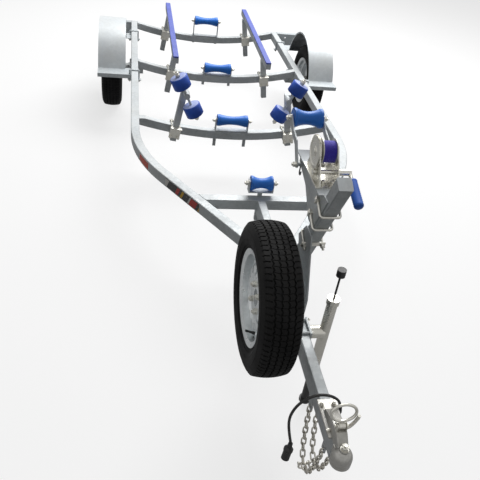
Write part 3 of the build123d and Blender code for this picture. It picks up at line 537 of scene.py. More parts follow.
class Palette(Enum):
    """The trailer's finishes."""

    GALVANISED = Zinc("galvanised steel", "D3D8DA", "9CA2A5", 0.5, 0.12)
    SHEET = Zinc("galvanised sheet", "CDD3D6", "8F979C", 0.45, 0.4, crystals=60.0, contrast=0.7)
    CASTING = Zinc("galvanised casting", "B9B8B4", "84827C", 0.42, 0.7, crystals=160.0, stains=14.0)
    BRIGHT = Zinc("bright zinc plate", "DAD8D0", "A6A49C", 0.34, 0.8, crystals=200.0, contrast=0.4)
    DULL = Zinc("dull zinc plate", "C4C1B8", "7C7A73", 0.34, 0.9, crystals=180.0, stains=20.0)
    WHEEL = Zinc("galvanised wheel", "E4E8E9", "A8ADB0", 0.36, 0.85, crystals=80.0, stains=8.0)
    TYRE = Moulding("tyre rubber", "0F0F10", "09090A", 0.78, grain=260.0, relief=0.25, dusty=0.05,
                    specular=0.22)
    KEEL_BLUE = Moulding("bright blue roller", "2084F0", "1A74DC", 0.42, grain=300.0, relief=0.08,
                         dusty=0.08)
    NAVY = Moulding("dark blue roller", "1A5CD4", "1246AC", 0.5, grain=300.0, relief=0.12, dusty=0.1)
    STRIP = Moulding("blue hull strip", "5666C2", "4857B0", 0.45, grain=200.0, relief=0.08, dusty=0.1)
    TAPE = Webbing("blue violet webbing", "5646E4", "3626B0", 0.7)
    BLACK = Moulding("black plastic", "161617", "0E0E0F", 0.45, grain=380.0)
    SHEATH = Moulding("black sheath", "111112", "0B0B0C", 0.5, grain=420.0, relief=0.08)
    ROLLER_END = Moulding("pale roller end", "B4C2F0", "8F9FDC", 0.45, grain=300.0, relief=0.1, dusty=0.12)
    GUARD = GuardSheet("galvanised mudguard", "DDE2E4", "B4BABE", 0.45, 0.15, crystals=60.0, contrast=0.5)
    ORANGE_STICKER = Sticker("orange sticker", "F2EEE6", "C9C4B8", 0.35, bands=((0.0, "D9481C"),))
    STRIPED_STICKER = Sticker("striped sticker", "17171A", "B9B6AE", 0.35, length=6.15, bands=(
        (0.0, "E9E7E2"), (0.05, "17171A"), (0.30, "C62B22"), (0.38, "17171A"), (0.44, "E2B21E"),
        (0.50, "17171A"), (0.66, "E9E7E2"), (0.70, "C62B22"), (0.88, "17171A"), (0.95, "E2B21E")))
    GRIP = Moulding("blue hand grip", "2E70DC", "2460C8", 0.5, grain=260.0, relief=0.2)

    def material(self) -> bpy.types.Material:
        """The finish's material."""
        return self.value.build()


NODE_FINISHES: tuple[tuple[str, Palette], ...] = (
    ("keel_roller", Palette.KEEL_BLUE), ("bow_roller_arms", Palette.GALVANISED),
    ("bow_roller", Palette.KEEL_BLUE), ("wobble_upper", Palette.NAVY), ("wobble_lower", Palette.NAVY),
    ("skid_strip", Palette.STRIP), ("skid_posts", Palette.GALVANISED), ("tyre", Palette.TYRE),
    ("spare_tyre", Palette.TYRE), ("rim", Palette.WHEEL), ("spare_rim", Palette.WHEEL),
    ("hub", Palette.CASTING), ("mudguard", Palette.GUARD), ("guard_steps", Palette.SHEET),
    ("lamp_brackets", Palette.SHEET), ("coupling_handle", Palette.BRIGHT), ("coupling", Palette.CASTING),
    ("winch_strap", Palette.TAPE), ("winch_drum", Palette.BRIGHT), ("winch_frame", Palette.BRIGHT),
    ("winch_crank", Palette.BRIGHT), ("jack_tube", Palette.BRIGHT), ("jack_leg", Palette.BLACK),
    ("safety_chains", Palette.DULL), ("chain_lugs", Palette.GALVANISED), ("wiring_plug", Palette.BLACK),
    ("lead_gland", Palette.SHEATH), ("wiring_lead", Palette.SHEATH))


def dress_nodes(nodes: dict[str, bpy.types.Object]) -> None:
    """Gives every CAD node its finish; what isn't named is galvanised steel."""
    for name, piece in nodes.items():
        finish = next((f for key, f in NODE_FINISHES if name.startswith(key)), Palette.GALVANISED)
        for slot in piece.material_slots:
            slot.material = finish.material()


# ---- studio ------------------------------------------------------------------------------


@dataclass
class Studio:
    """The camera, lamps, world and floor."""

    camera_place: Point = (-0.6648, -3.1443, 2.0025)
    right: Point = (0.9818, -0.1463, 0.1212)
    up: Point = (-0.0092, 0.6006, 0.7995)
    lens: float = 43.23
    sensor: float = 36.0
    clip: Flat = (0.05, 60.0)
    target: Point = (0.0, 0.0, 0.4)     # where the lamps are aimed
    floor_reach: float = 40.0
    floor_glow: float = 0.72            # share of plain white in what the camera sees of the floor
    floor_mirrored: float = 0.4
    lamps: tuple[tuple[str, Point, float, float], ...] = (
        ("key lamp", (1.2, 3.0, 4.6), 4.0, 350.0), ("side lamp", (-4.0, -1.8, 1.9), 2.0, 4.0))

    def build(self) -> None:
        """Makes everything round the trailer."""
        self.make_camera()
        self.make_lamps()
        self.make_world()
        self.make_floor()
        bpy.context.scene.view_settings.view_transform = "Standard"

    def make_camera(self) -> None:
        """The camera at the matched viewpoint."""
        data = bpy.data.cameras.new("studio camera")
        data.lens, data.sensor_width = self.lens, self.sensor
        data.clip_start, data.clip_end = self.clip
        camera = linked("studio camera", data)
        right = Vector(self.right).normalized()
        back = right.cross(Vector(self.up)).normalized()
        up = back.cross(right)
        matrix = Matrix((right, up, back)).transposed().to_4x4()
        matrix.translation = Vector(self.camera_place)
        camera.matrix_world = matrix
        bpy.context.scene.camera = camera

    def make_lamps(self) -> None:
        """Large soft lamps aimed at the trailer's middle."""
        for name, place, size, energy in self.lamps:
            data = bpy.data.lights.new(name, "AREA")
            data.size, data.energy = size, energy
            lamp = linked(name, data)
            lamp.location = place
            aim = Vector(self.target) - Vector(place)
            lamp.rotation_euler = aim.to_track_quat("-Z", "Y").to_euler()

    def make_world(self) -> None:
        """White where it is seen or mirrored, and dim as a light."""
        world = bpy.data.worlds.new("studio world")
        graph = bare_graph(world)
        strength = self.seen(graph, 0.2, 1.0)
        background = graph.add("ShaderNodeBackground", None, Color=(1, 1, 1, 1), Strength=strength)
        graph.feed(graph.add("ShaderNodeOutputWorld"), "Surface", background.outputs[0])
        bpy.context.scene.world = world

    @staticmethod
    def seen(graph: Graph, unseen: float, shown: float) -> bpy.types.NodeSocket:
        """A value that rays can tell apart.

        Args:
            graph: the tree that the nodes go into.
            unseen: the value for rays that only light the trailer.
            shown: the value for camera and transmission rays; glossy rays get most of it.

        Returns:
            The value's socket.
        """
        path = graph.add("ShaderNodeLightPath")
        direct = graph.math("MAXIMUM", path.outputs["Is Camera Ray"], path.outputs["Is Transmission Ray"])
        seen = graph.math("MAXIMUM", direct, graph.math("MULTIPLY", path.outputs["Is Glossy Ray"], 0.8))
        return graph.remap(seen, 0.0, 1.0, unseen, shown)

    def make_floor(self) -> None:
        """A pale floor that keeps the trailer's soft shadow."""
        mesh = bpy.data.meshes.new("studio floor")
        reach = self.floor_reach
        corner = [(-reach, -reach, 0), (reach, -reach, 0), (reach, reach, 0), (-reach, reach, 0)]
        mesh.from_pydata(corner, [], [(0, 1, 2, 3)])
        floor = linked("studio floor", mesh)
        material = bpy.data.materials.new("pale floor")
        graph = bare_graph(material)
        path = graph.add("ShaderNodeLightPath")
        tone = graph.blend(path.outputs["Is Camera Ray"], srgb("585858"), srgb("FAFAFA"))
        matt = graph.add("ShaderNodeBsdfDiffuse", None, Color=tone)
        glow = graph.add("ShaderNodeEmission", None, Color=(1, 1, 1, 1), Strength=1.0)
        mix = graph.add("ShaderNodeMixShader")
        glossy = graph.math("MULTIPLY", path.outputs["Is Glossy Ray"], self.floor_mirrored)
        graph.feed(mix, 0, graph.math("MULTIPLY_ADD", path.outputs["Is Camera Ray"], self.floor_glow, glossy))
        graph.feed(mix, 1, matt.outputs[0])
        graph.feed(mix, 2, glow.outputs[0])
        graph.feed(graph.add("ShaderNodeOutputMaterial"), "Surface", mix.outputs[0])
        mesh.materials.append(material)


# ---- wiring lead --------------------------------------------------------------------------


@dataclass
class WiringLead:
    """The loose lead, from its gland on the drawbar to the plug that hangs on it."""

    diameter: float = 0.010
    length: float = 0.396
    route: tuple[Point, ...] = (
        (44.0, -3406.0, 423.0), (44.0, -3406.0, 464.0), (6.0, -3400.0, 500.0),
        (-50.0, -3396.0, 505.0), (-100.0, -3394.0, 464.0), (-125.0, -3398.0, 402.0),
        (-120.0, -3408.0, 338.0), (-106.0, -3426.0, 284.0))

    def points(self) -> list[Vector]:
        """The route's points in metres."""
        return [spot(*point) for point in self.route]

    def build(self) -> bpy.types.Object:
        """The lead as a smooth bevelled curve."""
        data = bpy.data.curves.new("trailer lead", "CURVE")
        data.dimensions, data.bevel_depth, data.bevel_resolution = "3D", self.diameter / 2, 5
        spline = data.splines.new("NURBS")
        places = self.points()
        spline.points.add(len(places) - 1)
        for point, place in zip(spline.points, places):
            point.co = (*place, 1.0)
        spline.order_u = 3
        spline.use_endpoint_u = True
        spline.resolution_u = 12
        data.materials.append(Palette.SHEATH.material())
        piece = linked("trailer_lead", data)
        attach(piece, "chassis")
        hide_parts("wiring_lead")
        return piece


# ---- meshes and Geometry Nodes ---------------------------------------------------------------


def add_piece(name: str, mesh: bpy.types.Mesh, body: str, finishes: Sequence[Palette] = (),
              replaces: Sequence[str] = ()) -> bpy.types.Object:
    """Puts a finished mesh in the scene as a piece.

    Args:
        name: the piece's name.
        mesh: its mesh, in the trailer's frame.
        body: the body that it rides on.
        finishes: its materials in order; none where the mesh has them already.
        replaces: the CAD nodes that it stands for.

    Returns:
        The new object.
    """
    for finish in finishes:
        mesh.materials.append(finish.material())
    piece = linked(name, mesh)
    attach(piece, body)
    if replaces:
        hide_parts(*replaces)
    return piece


def bridge(form: bmesh.types.BMesh, rings: Sequence[Sequence[bmesh.types.BMVert]],
           ends: bool = False) -> None:
    """Closes the gaps between rings of as many points with faces.

    Args:
        form: the form that the rings are in.
        rings: the rings in order.
        ends: whether the first and last ring become faces too.
    """
    for near, far in zip(rings, rings[1:]):
        for i in range(len(near)):
            j = (i + 1) % len(near)
            form.faces.new((near[i], near[j], far[j], far[i]))
    if ends:
        form.faces.new(rings[0])
        form.faces.new(rings[-1])
    bmesh.ops.recalc_face_normals(form, faces=form.faces)


def turned(profile: Sequence[Flat], place: Matrix, steps: int = 32) -> bmesh.types.BMesh:
    """Turns a profile round the local Z axis.

    Args:
        profile: radius and height of each point; a radius of 0 closes the form on its axis.
        place: where the form stands.
        steps: facets in one turn.

    Returns:
        A closed form.
    """
    form = bmesh.new()
    rings = []
    for radius, height in profile:
        if radius == 0:
            rings.append([form.verts.new((0, 0, height))])
        else:
            rings.append([form.verts.new((radius * math.cos(a), radius * math.sin(a), height))
                          for a in (2 * math.pi * i / steps for i in range(steps))])
    for low, high in zip(rings, rings[1:]):
        for i in range(steps):
            j = (i + 1) % steps
            corner = [low[i % len(low)], low[j % len(low)], high[j % len(high)], high[i % len(high)]]
            form.faces.new(list(dict.fromkeys(corner)))
    bmesh.ops.recalc_face_normals(form, faces=form.faces)
    bmesh.ops.transform(form, matrix=place, verts=form.verts)
    return form


def to_mesh(form: bmesh.types.BMesh, name: str, sharp: float = 35.0) -> bpy.types.Mesh:
    """Frees a form into a mesh.

    Args:
        form: the form, which is used up.
        name: the mesh's name.
        sharp: the angle in degrees past which an edge isn't smooth.

    Returns:
        The mesh.
    """
    mesh = bpy.data.meshes.new(name)
    form.to_mesh(mesh)
    form.free()
    mesh.shade_smooth()
    mesh.set_sharp_from_angle(angle=math.radians(sharp))
    return mesh


def joined(forms: Iterable[bmesh.types.BMesh]) -> bmesh.types.BMesh:
    """Puts several forms into one and frees them."""
    whole = bmesh.new()
    for form in forms:
        scratch = bpy.data.meshes.new("scratch")
        form.to_mesh(scratch)
        form.free()
        whole.from_mesh(scratch)
        bpy.data.meshes.remove(scratch)
    return whole


def bent_wire(path: Sequence[Vector], radius: float, side: Vector, steps: int = 12) -> bmesh.types.BMesh:
    """Sweeps a round wire along a path that bends in one plane.

    Args:
        path: the wire's middle line.
        radius: the wire's radius.
        side: the direction square to the plane of the bends.
        steps: facets round the wire.

    Returns:
        A closed form.
    """
    form = bmesh.new()
    rings = []
    for i, point in enumerate(path):
        ahead = (path[min(i + 1, len(path) - 1)] - path[max(i - 1, 0)]).normalized()
        across = ahead.cross(side).normalized()
        turns = [2 * math.pi * k / steps for k in range(steps)]
        rings.append([form.verts.new(point + side * (radius * math.cos(a)) + across * (radius * math.sin(a)))
                      for a in turns])
    bridge(form, rings, ends=True)
    return form


def standing(place: Vector, along: Vector) -> Matrix:
    """A frame at a place with its Z axis along a direction."""
    turn = Vector(along).normalized().to_track_quat("Z", "Y").to_matrix().to_4x4()
    return Matrix.Translation(place) @ turn


class Grower:
    """A Geometry Nodes tree that is run once on a carrier mesh."""

    name = "grower"
    inputs: tuple[Socket, ...] = ()

    def lay(self, graph: Graph, take: bpy.types.Node) -> bpy.types.NodeSocket:
        """Lays the tree's nodes, up to the geometry before its finish.

        Args:
            graph: the tree's graph.
            take: its input node.

        Returns:
            The socket of the grown geometry.
        """
        raise NotImplementedError

    def tree(self) -> bpy.types.NodeTree:
        """The tree, built the first time."""
        found = bpy.data.node_groups.get(self.name)
        if found:
            return found
        geometry = Socket("Geometry", "NodeSocketGeometry")
        finish = Socket("Finish", "NodeSocketMaterial", None)
        takes = (geometry, *self.inputs, finish)
        graph, take, give = new_group(self.name, takes, (geometry,), "GeometryNodeTree")
        grown = graph.add("GeometryNodeRealizeInstances", None, Geometry=self.lay(graph, take)).outputs[0]
        shaded = graph.add("GeometryNodeSetMaterial", None, Geometry=grown, Material=take.outputs["Finish"])
        graph.feed(give, "Geometry", shaded.outputs[0])
        return graph.tree

    def grow(self, carrier: bpy.types.Mesh, finish: Palette, **values: object) -> bpy.types.Mesh:
        """Runs the tree on a carrier.

        Args:
            carrier: the mesh that the tree starts from; it is used up.
            finish: the result's finish.
            values: the tree's inputs by name, with _ for a blank.

        Returns:
            A plain mesh.
        """
        tree = self.tree()
        carrying = linked(carrier.name, carrier)
        modifier = carrying.modifiers.new(self.name, "NODES")
        modifier.node_group = tree
        given = {key.replace("_", " "): value for key, value in values.items()}
        given["Finish"] = finish.material()
        for item in tree.interface.items_tree:
            if item.item_type == "SOCKET" and item.in_out == "INPUT" and item.name in given:
                modifier[item.identifier] = given[item.name]
        graph = bpy.context.evaluated_depsgraph_get()
        mesh = bpy.data.meshes.new_from_object(carrying.evaluated_get(graph))
        carrying.modifiers.remove(modifier)
        bpy.data.objects.remove(carrying)
        bpy.data.meshes.remove(carrier)
        return mesh


# ---- tyres -----------------------------------------------------------------------------------


class TreadRing(Grower):
    """Repeats one pitch of a tyre or one tooth of a gear round the X axis and closes the seams."""

    name = "Tread ring"
    inputs = (Socket("Pitches", "NodeSocketInt", 56),)

    def lay(self, graph: Graph, take: bpy.types.Node) -> bpy.types.NodeSocket:
        """One turned copy of the pitch for each point."""
        count = take.outputs["Pitches"]
        points = graph.add("GeometryNodePoints", None, Count=count).outputs[0]
        index = graph.add("GeometryNodeInputIndex").outputs[0]
        angle = graph.math("MULTIPLY", index, graph.math("DIVIDE", 2 * math.pi, count))
        turn = graph.add("ShaderNodeCombineXYZ", None, X=angle).outputs[0]
        copies = graph.add("GeometryNodeInstanceOnPoints", None, Points=points,
                           Instance=take.outputs["Geometry"], Rotation=turn).outputs[0]
        real = graph.add("GeometryNodeRealizeInstances", None, Geometry=copies).outputs[0]
        return graph.add("GeometryNodeMergeByDistance", None, Geometry=real, Distance=2e-5).outputs[0]

    def whole(self, pitch: bpy.types.Mesh, finish: Palette, count: int, place: Point) -> bmesh.types.BMesh:
        """The closed ring.

        Args:
            pitch: the mesh of one pitch, which is used up.
            finish: the ring's finish.
            count: how many pitches make one turn.
            place: the ring's middle.

        Returns:
            The ring's form in its place.
        """
        ring = self.grow(pitch, finish, Pitches=count)
        form = bmesh.new()
        form.from_mesh(ring)
        bpy.data.meshes.remove(ring)
        for face in form.faces:
            face.material_index = 0
        bmesh.ops.recalc_face_normals(form, faces=form.faces)
        bmesh.ops.transform(form, matrix=Matrix.Translation(place), verts=form.verts)
        return form


@dataclass
class Tyre:
    """A road tyre with zigzag grooves, shoulder slots and ringed sidewalls, round the X axis."""

    name: str
    body: str
    place: Point
    outer: float = 0.286
    tread_half: float = 0.058
    shoulder: float = 0.278
    widest: float = 0.075
    belly: float = 0.232
    flange: float = 0.185
    bead: float = 0.052
    seat: float = 0.165
    pitches: int = 80
    skew: float = 0.9
    groove_depth: float = 0.0062
    groove_half: float = 0.0032
    groove_lines: tuple[float, ...] = (-0.034, -0.0115, 0.0115, 0.034)
    groove_wall: float = 0.001
    zigzag: float = 0.0024
    insets: tuple[float, ...] = (0.0, 0.006, 0.0165, 0.0175)        # of the shoulder slots' columns
    slot: Point = (0.36, 0.58, 0.0045)                              # start, end and depth in one pitch
    sipe: Point = (0.82, 0.90, 0.004)
    ribs: tuple[Flat, ...] = ((0.0, 0.0095), (0.0145, 0.031))       # where the sipes cut
    parts: tuple[float, ...] = (0.0, 0.25, 0.34, 0.36, 0.58, 0.60, 0.75, 0.80, 0.82, 0.90, 0.92, 1.0)
    rings: tuple[Flat, ...] = (                                     # share of the wall, and how proud
        (0.0, 0.0), (0.05, 0.0), (0.06, -0.0022), (0.13, -0.0022), (0.14, 0.0), (0.3, -0.0004),
        (0.31, -0.0014), (0.33, -0.0014), (0.34, -0.0004), (0.5, 0.0), (0.64, -0.0003), (0.65, -0.0013),
        (0.67, -0.0013), (0.68, -0.0002), (0.82, -0.0004), (0.9, -0.0001))

    def crown(self, x: float) -> float:
        """The tread's radius at a place across it."""
        drop = self.outer - self.shoulder
        arc = (self.tread_half ** 2 + drop ** 2) / (2 * drop)
        return self.outer - arc + math.sqrt(max(arc ** 2 - x * x, 0.0))

    def sidewall(self) -> list[Flat]:
        """Points from the bead up to the shoulder, with a rim guard and rings."""
        (x0, r0), (x1, r1), (x2, r2) = ((self.bead + 0.006, self.flange), (self.widest, self.belly),
                                        (self.tread_half, self.shoulder))
        d = 2 * (x0 * (r1 - r2) + x1 * (r2 - r0) + x2 * (r0 - r1))
        squares = (x0 * x0 + r0 * r0, x1 * x1 + r1 * r1, x2 * x2 + r2 * r2)
        cx = (squares[0] * (r1 - r2) + squares[1] * (r2 - r0) + squares[2] * (r0 - r1)) / d
        cr = (squares[0] * (x2 - x1) + squares[1] * (x0 - x2) + squares[2] * (x1 - x0)) / d
        arc = math.hypot(x0 - cx, r0 - cr)
        first, last = math.atan2(r0 - cr, x0 - cx), math.atan2(r2 - cr, x2 - cx)
        points = []
        for part, proud in self.rings:
            turn = first + (last - first) * part
            points.append((cx + (arc + proud) * math.cos(turn), cr + (arc + proud) * math.sin(turn)))
        return points

    def columns(self) -> list[tuple[float, float, float, bool]]:
        """The tread's columns from the inner shoulder.

        Returns:
            Each one's x, groove depth, share of the zigzag, and whether the shoulder slots cut it.
        """
        edge = [(self.tread_half - inset, 0.0, 0.0, inset != self.insets[-1]) for inset in self.insets]
        lip, floor = self.groove_half, self.groove_half - self.groove_wall
        grooves = [(line + x, depth, 1.0, False) for line in self.groove_lines
                   for x, depth in ((-lip, 0.0), (-floor, 1.0), (floor, 1.0), (lip, 0.0))]
        return [(-x, depth, share, cut) for x, depth, share, cut in edge] + grooves + edge[::-1]

    def section(self, part: float) -> list[Flat]:
        """The closed section at a share of the pitch, from the inner bead over the tread to the outer one."""
        swing = self.zigzag * (1 - abs(4 * ((part + 0.25) % 1.0) - 2))
        slot, sipe = (depth if start <= part <= end else 0.0 for start, end, depth in (self.slot, self.sipe))
        shoulder = (self.tread_half + 0.0006, self.shoulder - 0.003 - slot)
        flank = [(self.bead, self.seat), *self.sidewall(), shoulder]
        top = []
        for x, depth, share, slotted in self.columns():
            cut = depth * self.groove_depth + (slot if slotted else 0.0)
            if not depth and any(low <= abs(x) < high for low, high in self.ribs):
                cut += sipe
            place = x + swing * share
            top.append((place, self.crown(place) - cut))
        return [(-x, r) for x, r in flank] + top + flank[::-1]

    def pitch(self) -> bpy.types.Mesh:
        """One pitch of the tyre as a bent strip."""
        form = bmesh.new()
        rings = []
        for part in self.parts:
            ring = []
            for x, r in self.section(part % 1.0):
                lag = self.skew * max(min(abs(x), self.tread_half) - self.groove_lines[2], 0.0)
                turn = 2 * math.pi * part / self.pitches + lag
                ring.append(form.verts.new((x, r * math.sin(turn), r * math.cos(turn))))
            rings.append(ring)
        bridge(form, rings)
        return to_mesh(form, "tyre pitch")

    def build(self) -> bpy.types.Object:
        """The whole tyre in its place."""
        form = TreadRing().whole(self.pitch(), Palette.TYRE, self.pitches, self.place)
        mesh = to_mesh(form, self.name, 32.0)
        return add_piece(f"treaded_{self.name}", mesh, self.body, (Palette.TYRE,), (self.name,))


# ---- fasteners -------------------------------------------------------------------------------


class HexFasteners(Grower):
    """A washer, a chamfered hexagon and a stub of thread at each carrier point, along its own direction."""

    name = "Hex fasteners"
    inputs = (Socket("Head height", value=0.62), Socket("Washer", value=0.62), Socket("Thread", value=0.3))
    washer = 0.1                    # all sizes are shares of the width across flats
    across_corners = 0.577
    chamfer = 0.06
    crown = {"Radius_Top": 0.42, "Radius_Bottom": 0.5, "Depth": chamfer}
    bolt = 0.29

    def lay(self, graph: Graph, take: bpy.types.Node) -> bpy.types.NodeSocket:
        """Instances scaled by each point's size, which is the hexagon's width across flats."""
        height, thread = take.outputs["Head height"], take.outputs["Thread"]
        half = self.washer / 2
        body = {"Radius": self.across_corners, "Depth": graph.math("SUBTRACT", height, self.washer)}
        middle = graph.math("ADD", graph.math("MULTIPLY", height, 0.5), half)
        end = graph.math("ADD", height, graph.math("MULTIPLY", thread, 0.5))
        parts = (("Cylinder", 20, {"Radius": take.outputs["Washer"], "Depth": self.washer}, half),
                 ("Cylinder", 6, body, middle),
                 ("Cone", 12, self.crown, height),
                 ("Cylinder", 12, {"Radius": self.bolt, "Depth": thread}, end))
        whole = graph.add("GeometryNodeJoinGeometry")
        for kind, sides, sizes, lift in parts:
            shape = graph.add(f"GeometryNodeMesh{kind}", None, Vertices=sides, **sizes).outputs["Mesh"]
            move = graph.add("ShaderNodeCombineXYZ", None, Z=lift).outputs[0]
            lifted = graph.add("GeometryNodeTransform", None, Geometry=shape, Translation=move)
            graph.tree.links.new(lifted.outputs[0], whole.inputs[0])
        kept = "GeometryNodeInputNamedAttribute"
        facing = graph.add(kept, {"data_type": "FLOAT_VECTOR"}, Name="facing").outputs[0]
        size = graph.add(kept, {"data_type": "FLOAT"}, Name="size").outputs[0]
        turn = graph.add("FunctionNodeAlignRotationToVector", {"axis": "Z"}, Vector=facing).outputs[0]
        scale = graph.add("ShaderNodeCombineXYZ", None, X=size, Y=size, Z=size).outputs[0]
        points = graph.add("GeometryNodeMeshToPoints", None, Mesh=take.outputs["Geometry"]).outputs[0]
        return graph.add("GeometryNodeInstanceOnPoints", None, Points=points, Instance=whole.outputs[0],
                         Rotation=turn, Scale=scale).outputs[0]


@dataclass(frozen=True)
class Bolt:
    """One fastener: its seat in millimetres (x, station, z), its direction and its width across flats."""

    seat: Point
    facing: Point
    size: float = 17.0


# Rows of x's, stations, heights, direction and width across flats, in millimetres. A row is a grid.
BoltRow = tuple[tuple[float, ...], tuple[float, ...], tuple[float, ...], Point, float]
PAIRED_BOLTS: tuple[BoltRow, ...] = (
    ((110.0,), (725.0,), (497.0,), (1, 0, 0), 24.0),                        # keel rollers' pins
    ((110.0,), (-218.0,), (418.0,), (1, 0, 0), 24.0),
    ((110.0,), (-1079.0,), (388.0,), (1, 0, 0), 24.0),
    ((65.0,), (-2073.0,), (513.0,), (1, 0, 0), 24.0),
    ((601.5, 668.5), (-447.6, 447.6), (380.0,), (0, 0, -1), 16.0),          # mudguard steps' U-bolts
    ((611.0, 655.0), (-205.0, -65.0), (379.0,), (0, 0, -1), 17.0),          # suspension's plates
    ((65.0,), (-2580.0,), (1112.0,), (1, 0, 0), 19.0),                      # bow roller's pin
    ((18.0,), (-2800.0, -2930.0), (1034.0,), (0, 0, 1), 15.0),              # winch's base
    ((22.0,), (-3397.0,), (453.0,), (0, 0, 1), 16.0),                       # coupling's plate
    ((26.6,), (-3500.0,), (453.0,), (0, 0, 1), 11.5))
LONE_BOLTS: tuple[BoltRow, ...] = (
    ((-65.0,), (-2755.0,), (1008.0,), (-1, 0, 0), 19.0),                    # bow roller's arms
    ((-30.0,), (-2715.0,), (990.0,), (-1, 0, 0), 13.0),                     # winch mount's cheek
    ((-26.0,), (-3067.0, -2993.0), (360.0, 450.0), (-1, 0, 0), 12.0),       # jack's clamp
    ((28.0,), (-3067.0, -2993.0), (360.0, 450.0), (1, 0, 0), 12.0),
    ((0.0,), (-3580.0,), (469.0,), (0, 0, 1), 22.0))                        # coupling's top


@dataclass
class Fasteners:
    """Every nut and bolt head that shows, one piece for each body."""

    studs: float = 50.0             # radius of the wheels' stud circle, in millimetres
    wheel_face: float = 838.5
    spare_face: float = -207.0
    bar_middle: Point = (322.235, -1205.0, 593.0)
    bar_half: float = 146.5

    @staticmethod
    def grid(rows: Iterable[BoltRow], sides: Iterable[int] = (1,)) -> list[Bolt]:
        """Bolts from rows.

        Args:
            rows: the rows, for the left side.
            sides: 1 for the rows as they are, and -1 for their mirror image.

        Returns:
            A bolt for each place of each row's grid.
        """
        return [Bolt((side * x, station, z), (side * facing[0], *facing[1:]), size)
                for side, (xs, stations, heights, facing, size) in product(sides, rows)
                for x, station, z in product(xs, stations, heights)]

    def post_clamps(self) -> list[Bolt]:
        """Nuts on the rods that clamp the posts to the cross-members."""
        bolts = []
        out, rise = CLAMP_RODS
        for station, x, centre in CLAMPED_POSTS:
            tilt, middle = post_seat(x, centre)
            for side, across, up in product((1, -1), (-out, out), (-rise, rise)):
                px = side * (x + across * math.cos(tilt) - up * math.sin(tilt))
                pz = middle + across * math.sin(tilt) + up * math.cos(tilt)
                bolts += [Bolt((px, station + reach, pz), (0, way, 0))
                          for reach, way in ((-70.0, -1), (30.0, 1))]
        return bolts

    def post_bolts(self) -> list[Bolt]:
        """Nuts on the winch post's U-bolts."""
        back = Vector((0, math.cos(POST_LEAN), math.sin(POST_LEAN)))
        bolts = []
        for rise, way, near in U_BOLTS:
            seat = up_post(rise) + back * (way * (near + U_BOLT_STRIP))
            bolts += [Bolt((side * U_BOLT_LEG, seat.y, seat.z), tuple(back * way)) for side in (1, -1)]
        return bolts

    def wheel_nuts(self, x: float, station: float, z: float, facing: int) -> list[Bolt]:
        """Four nuts on a wheel's studs.

        Args:
            x: the seat's x.
            station: the wheel's station.
            z: the wheel's height.
            facing: which way along X they point.

        Returns:
            The nuts.
        """
        turns = [math.radians(45 + 90 * i) for i in range(4)]
        studs = [(station + self.studs * math.sin(a), z + self.studs * math.cos(a)) for a in turns]
        return [Bolt((x, y, height), (facing, 0, 0), 20.0) for y, height in studs]

    def bar_nuts(self, side: int) -> list[Bolt]:
        """Nuts at both ends of a side roller bar."""
        along = Vector((side * math.cos(BAR_TILT), 0, math.sin(BAR_TILT)))
        middle = Vector((side * self.bar_middle[0], *self.bar_middle[1:]))
        return [Bolt(tuple(middle + along * end * self.bar_half), tuple(along * end), 25.0)
                for end in (1, -1)]

    def batch(self, name: str, body: str, bolts: Sequence[Bolt]) -> bpy.types.Object:
        """One body's fasteners as a piece.

        Args:
            name: the piece's name.
            body: the body that it rides on.
            bolts: its fasteners.

        Returns:
            The piece.
        """
        mesh = bpy.data.meshes.new("bolt seats")
        mesh.from_pydata([spot(*bolt.seat) for bolt in bolts], [], [])
        mesh.attributes.new("facing", "FLOAT_VECTOR", "POINT")
        mesh.attributes.new("size", "FLOAT", "POINT")
        facing, size = mesh.attributes["facing"].data, mesh.attributes["size"].data
        for i, bolt in enumerate(bolts):
            facing[i].vector = bolt.facing
            size[i].value = bolt.size / 1000
        return add_piece(name, HexFasteners().grow(mesh, Palette.BRIGHT), body)

    def build(self) -> list[bpy.types.Object]:
        """All batches."""
        spare = self.wheel_nuts(self.spare_face, (SPARE_WHEEL[1] - AXLE_Y) * 1000, SPARE_WHEEL[2] * 1000, -1)
        fixed = (self.post_clamps() + self.post_bolts() + spare + self.grid(PAIRED_BOLTS, (1, -1))
                 + self.grid(LONE_BOLTS))
        pieces = [self.batch("chassis_fasteners", "chassis", fixed)]
        for side, name in SIDES:
            studs = self.wheel_nuts(side * self.wheel_face, 0.0, WHEEL_Z * 1000, side)
            pieces.append(self.batch(f"wheel_nuts_{name}", f"wheel_{name}", studs))
            pieces.append(self.batch(f"bar_nuts_{name}", f"cradle_{name}", self.bar_nuts(side)))
        return pieces


# ---- ironwork --------------------------------------------------------------------------------


def slab(low: Point, high: Point, place: Matrix, edge: float = 0.0009) -> bmesh.types.BMesh:
    """A flat bar with rolled edges.

    Args:
        low: one corner in its own frame, in millimetres.
        high: the opposite corner.
        place: where its frame stands.
        edge: how far its edges are rolled, in metres.

    Returns:
        A closed form.
    """
    form = bmesh.new()
    bmesh.ops.create_cube(form, size=1.0)
    for vert in form.verts:
        vert.co = Vector([(top if c > 0 else bottom) / 1000 for c, bottom, top in zip(vert.co, low, high)])
    bmesh.ops.bevel(form, geom=form.edges[:], offset=edge, segments=2, profile=0.5, affect="EDGES")
    bmesh.ops.transform(form, matrix=place, verts=form.verts)
    return form


def threaded(start: Point, end: Point, radius: float, place: Matrix) -> bmesh.types.BMesh:
    """A rod with chamfered ends.

    Args:
        start: one end in its own frame, in millimetres.
        end: the other end.
        radius: its radius in metres.
        place: where its frame stands.

    Returns:
        A closed form.
    """
    low, high = (place @ (Vector(point) / 1000) for point in (start, end))
    length = (high - low).length
    neck = radius - 0.001
    profile = [(0, 0), (neck, 0), (radius, 0.001), (radius, length - 0.001), (neck, length), (0, length)]
    return turned(profile, standing(low, high - low), 16)


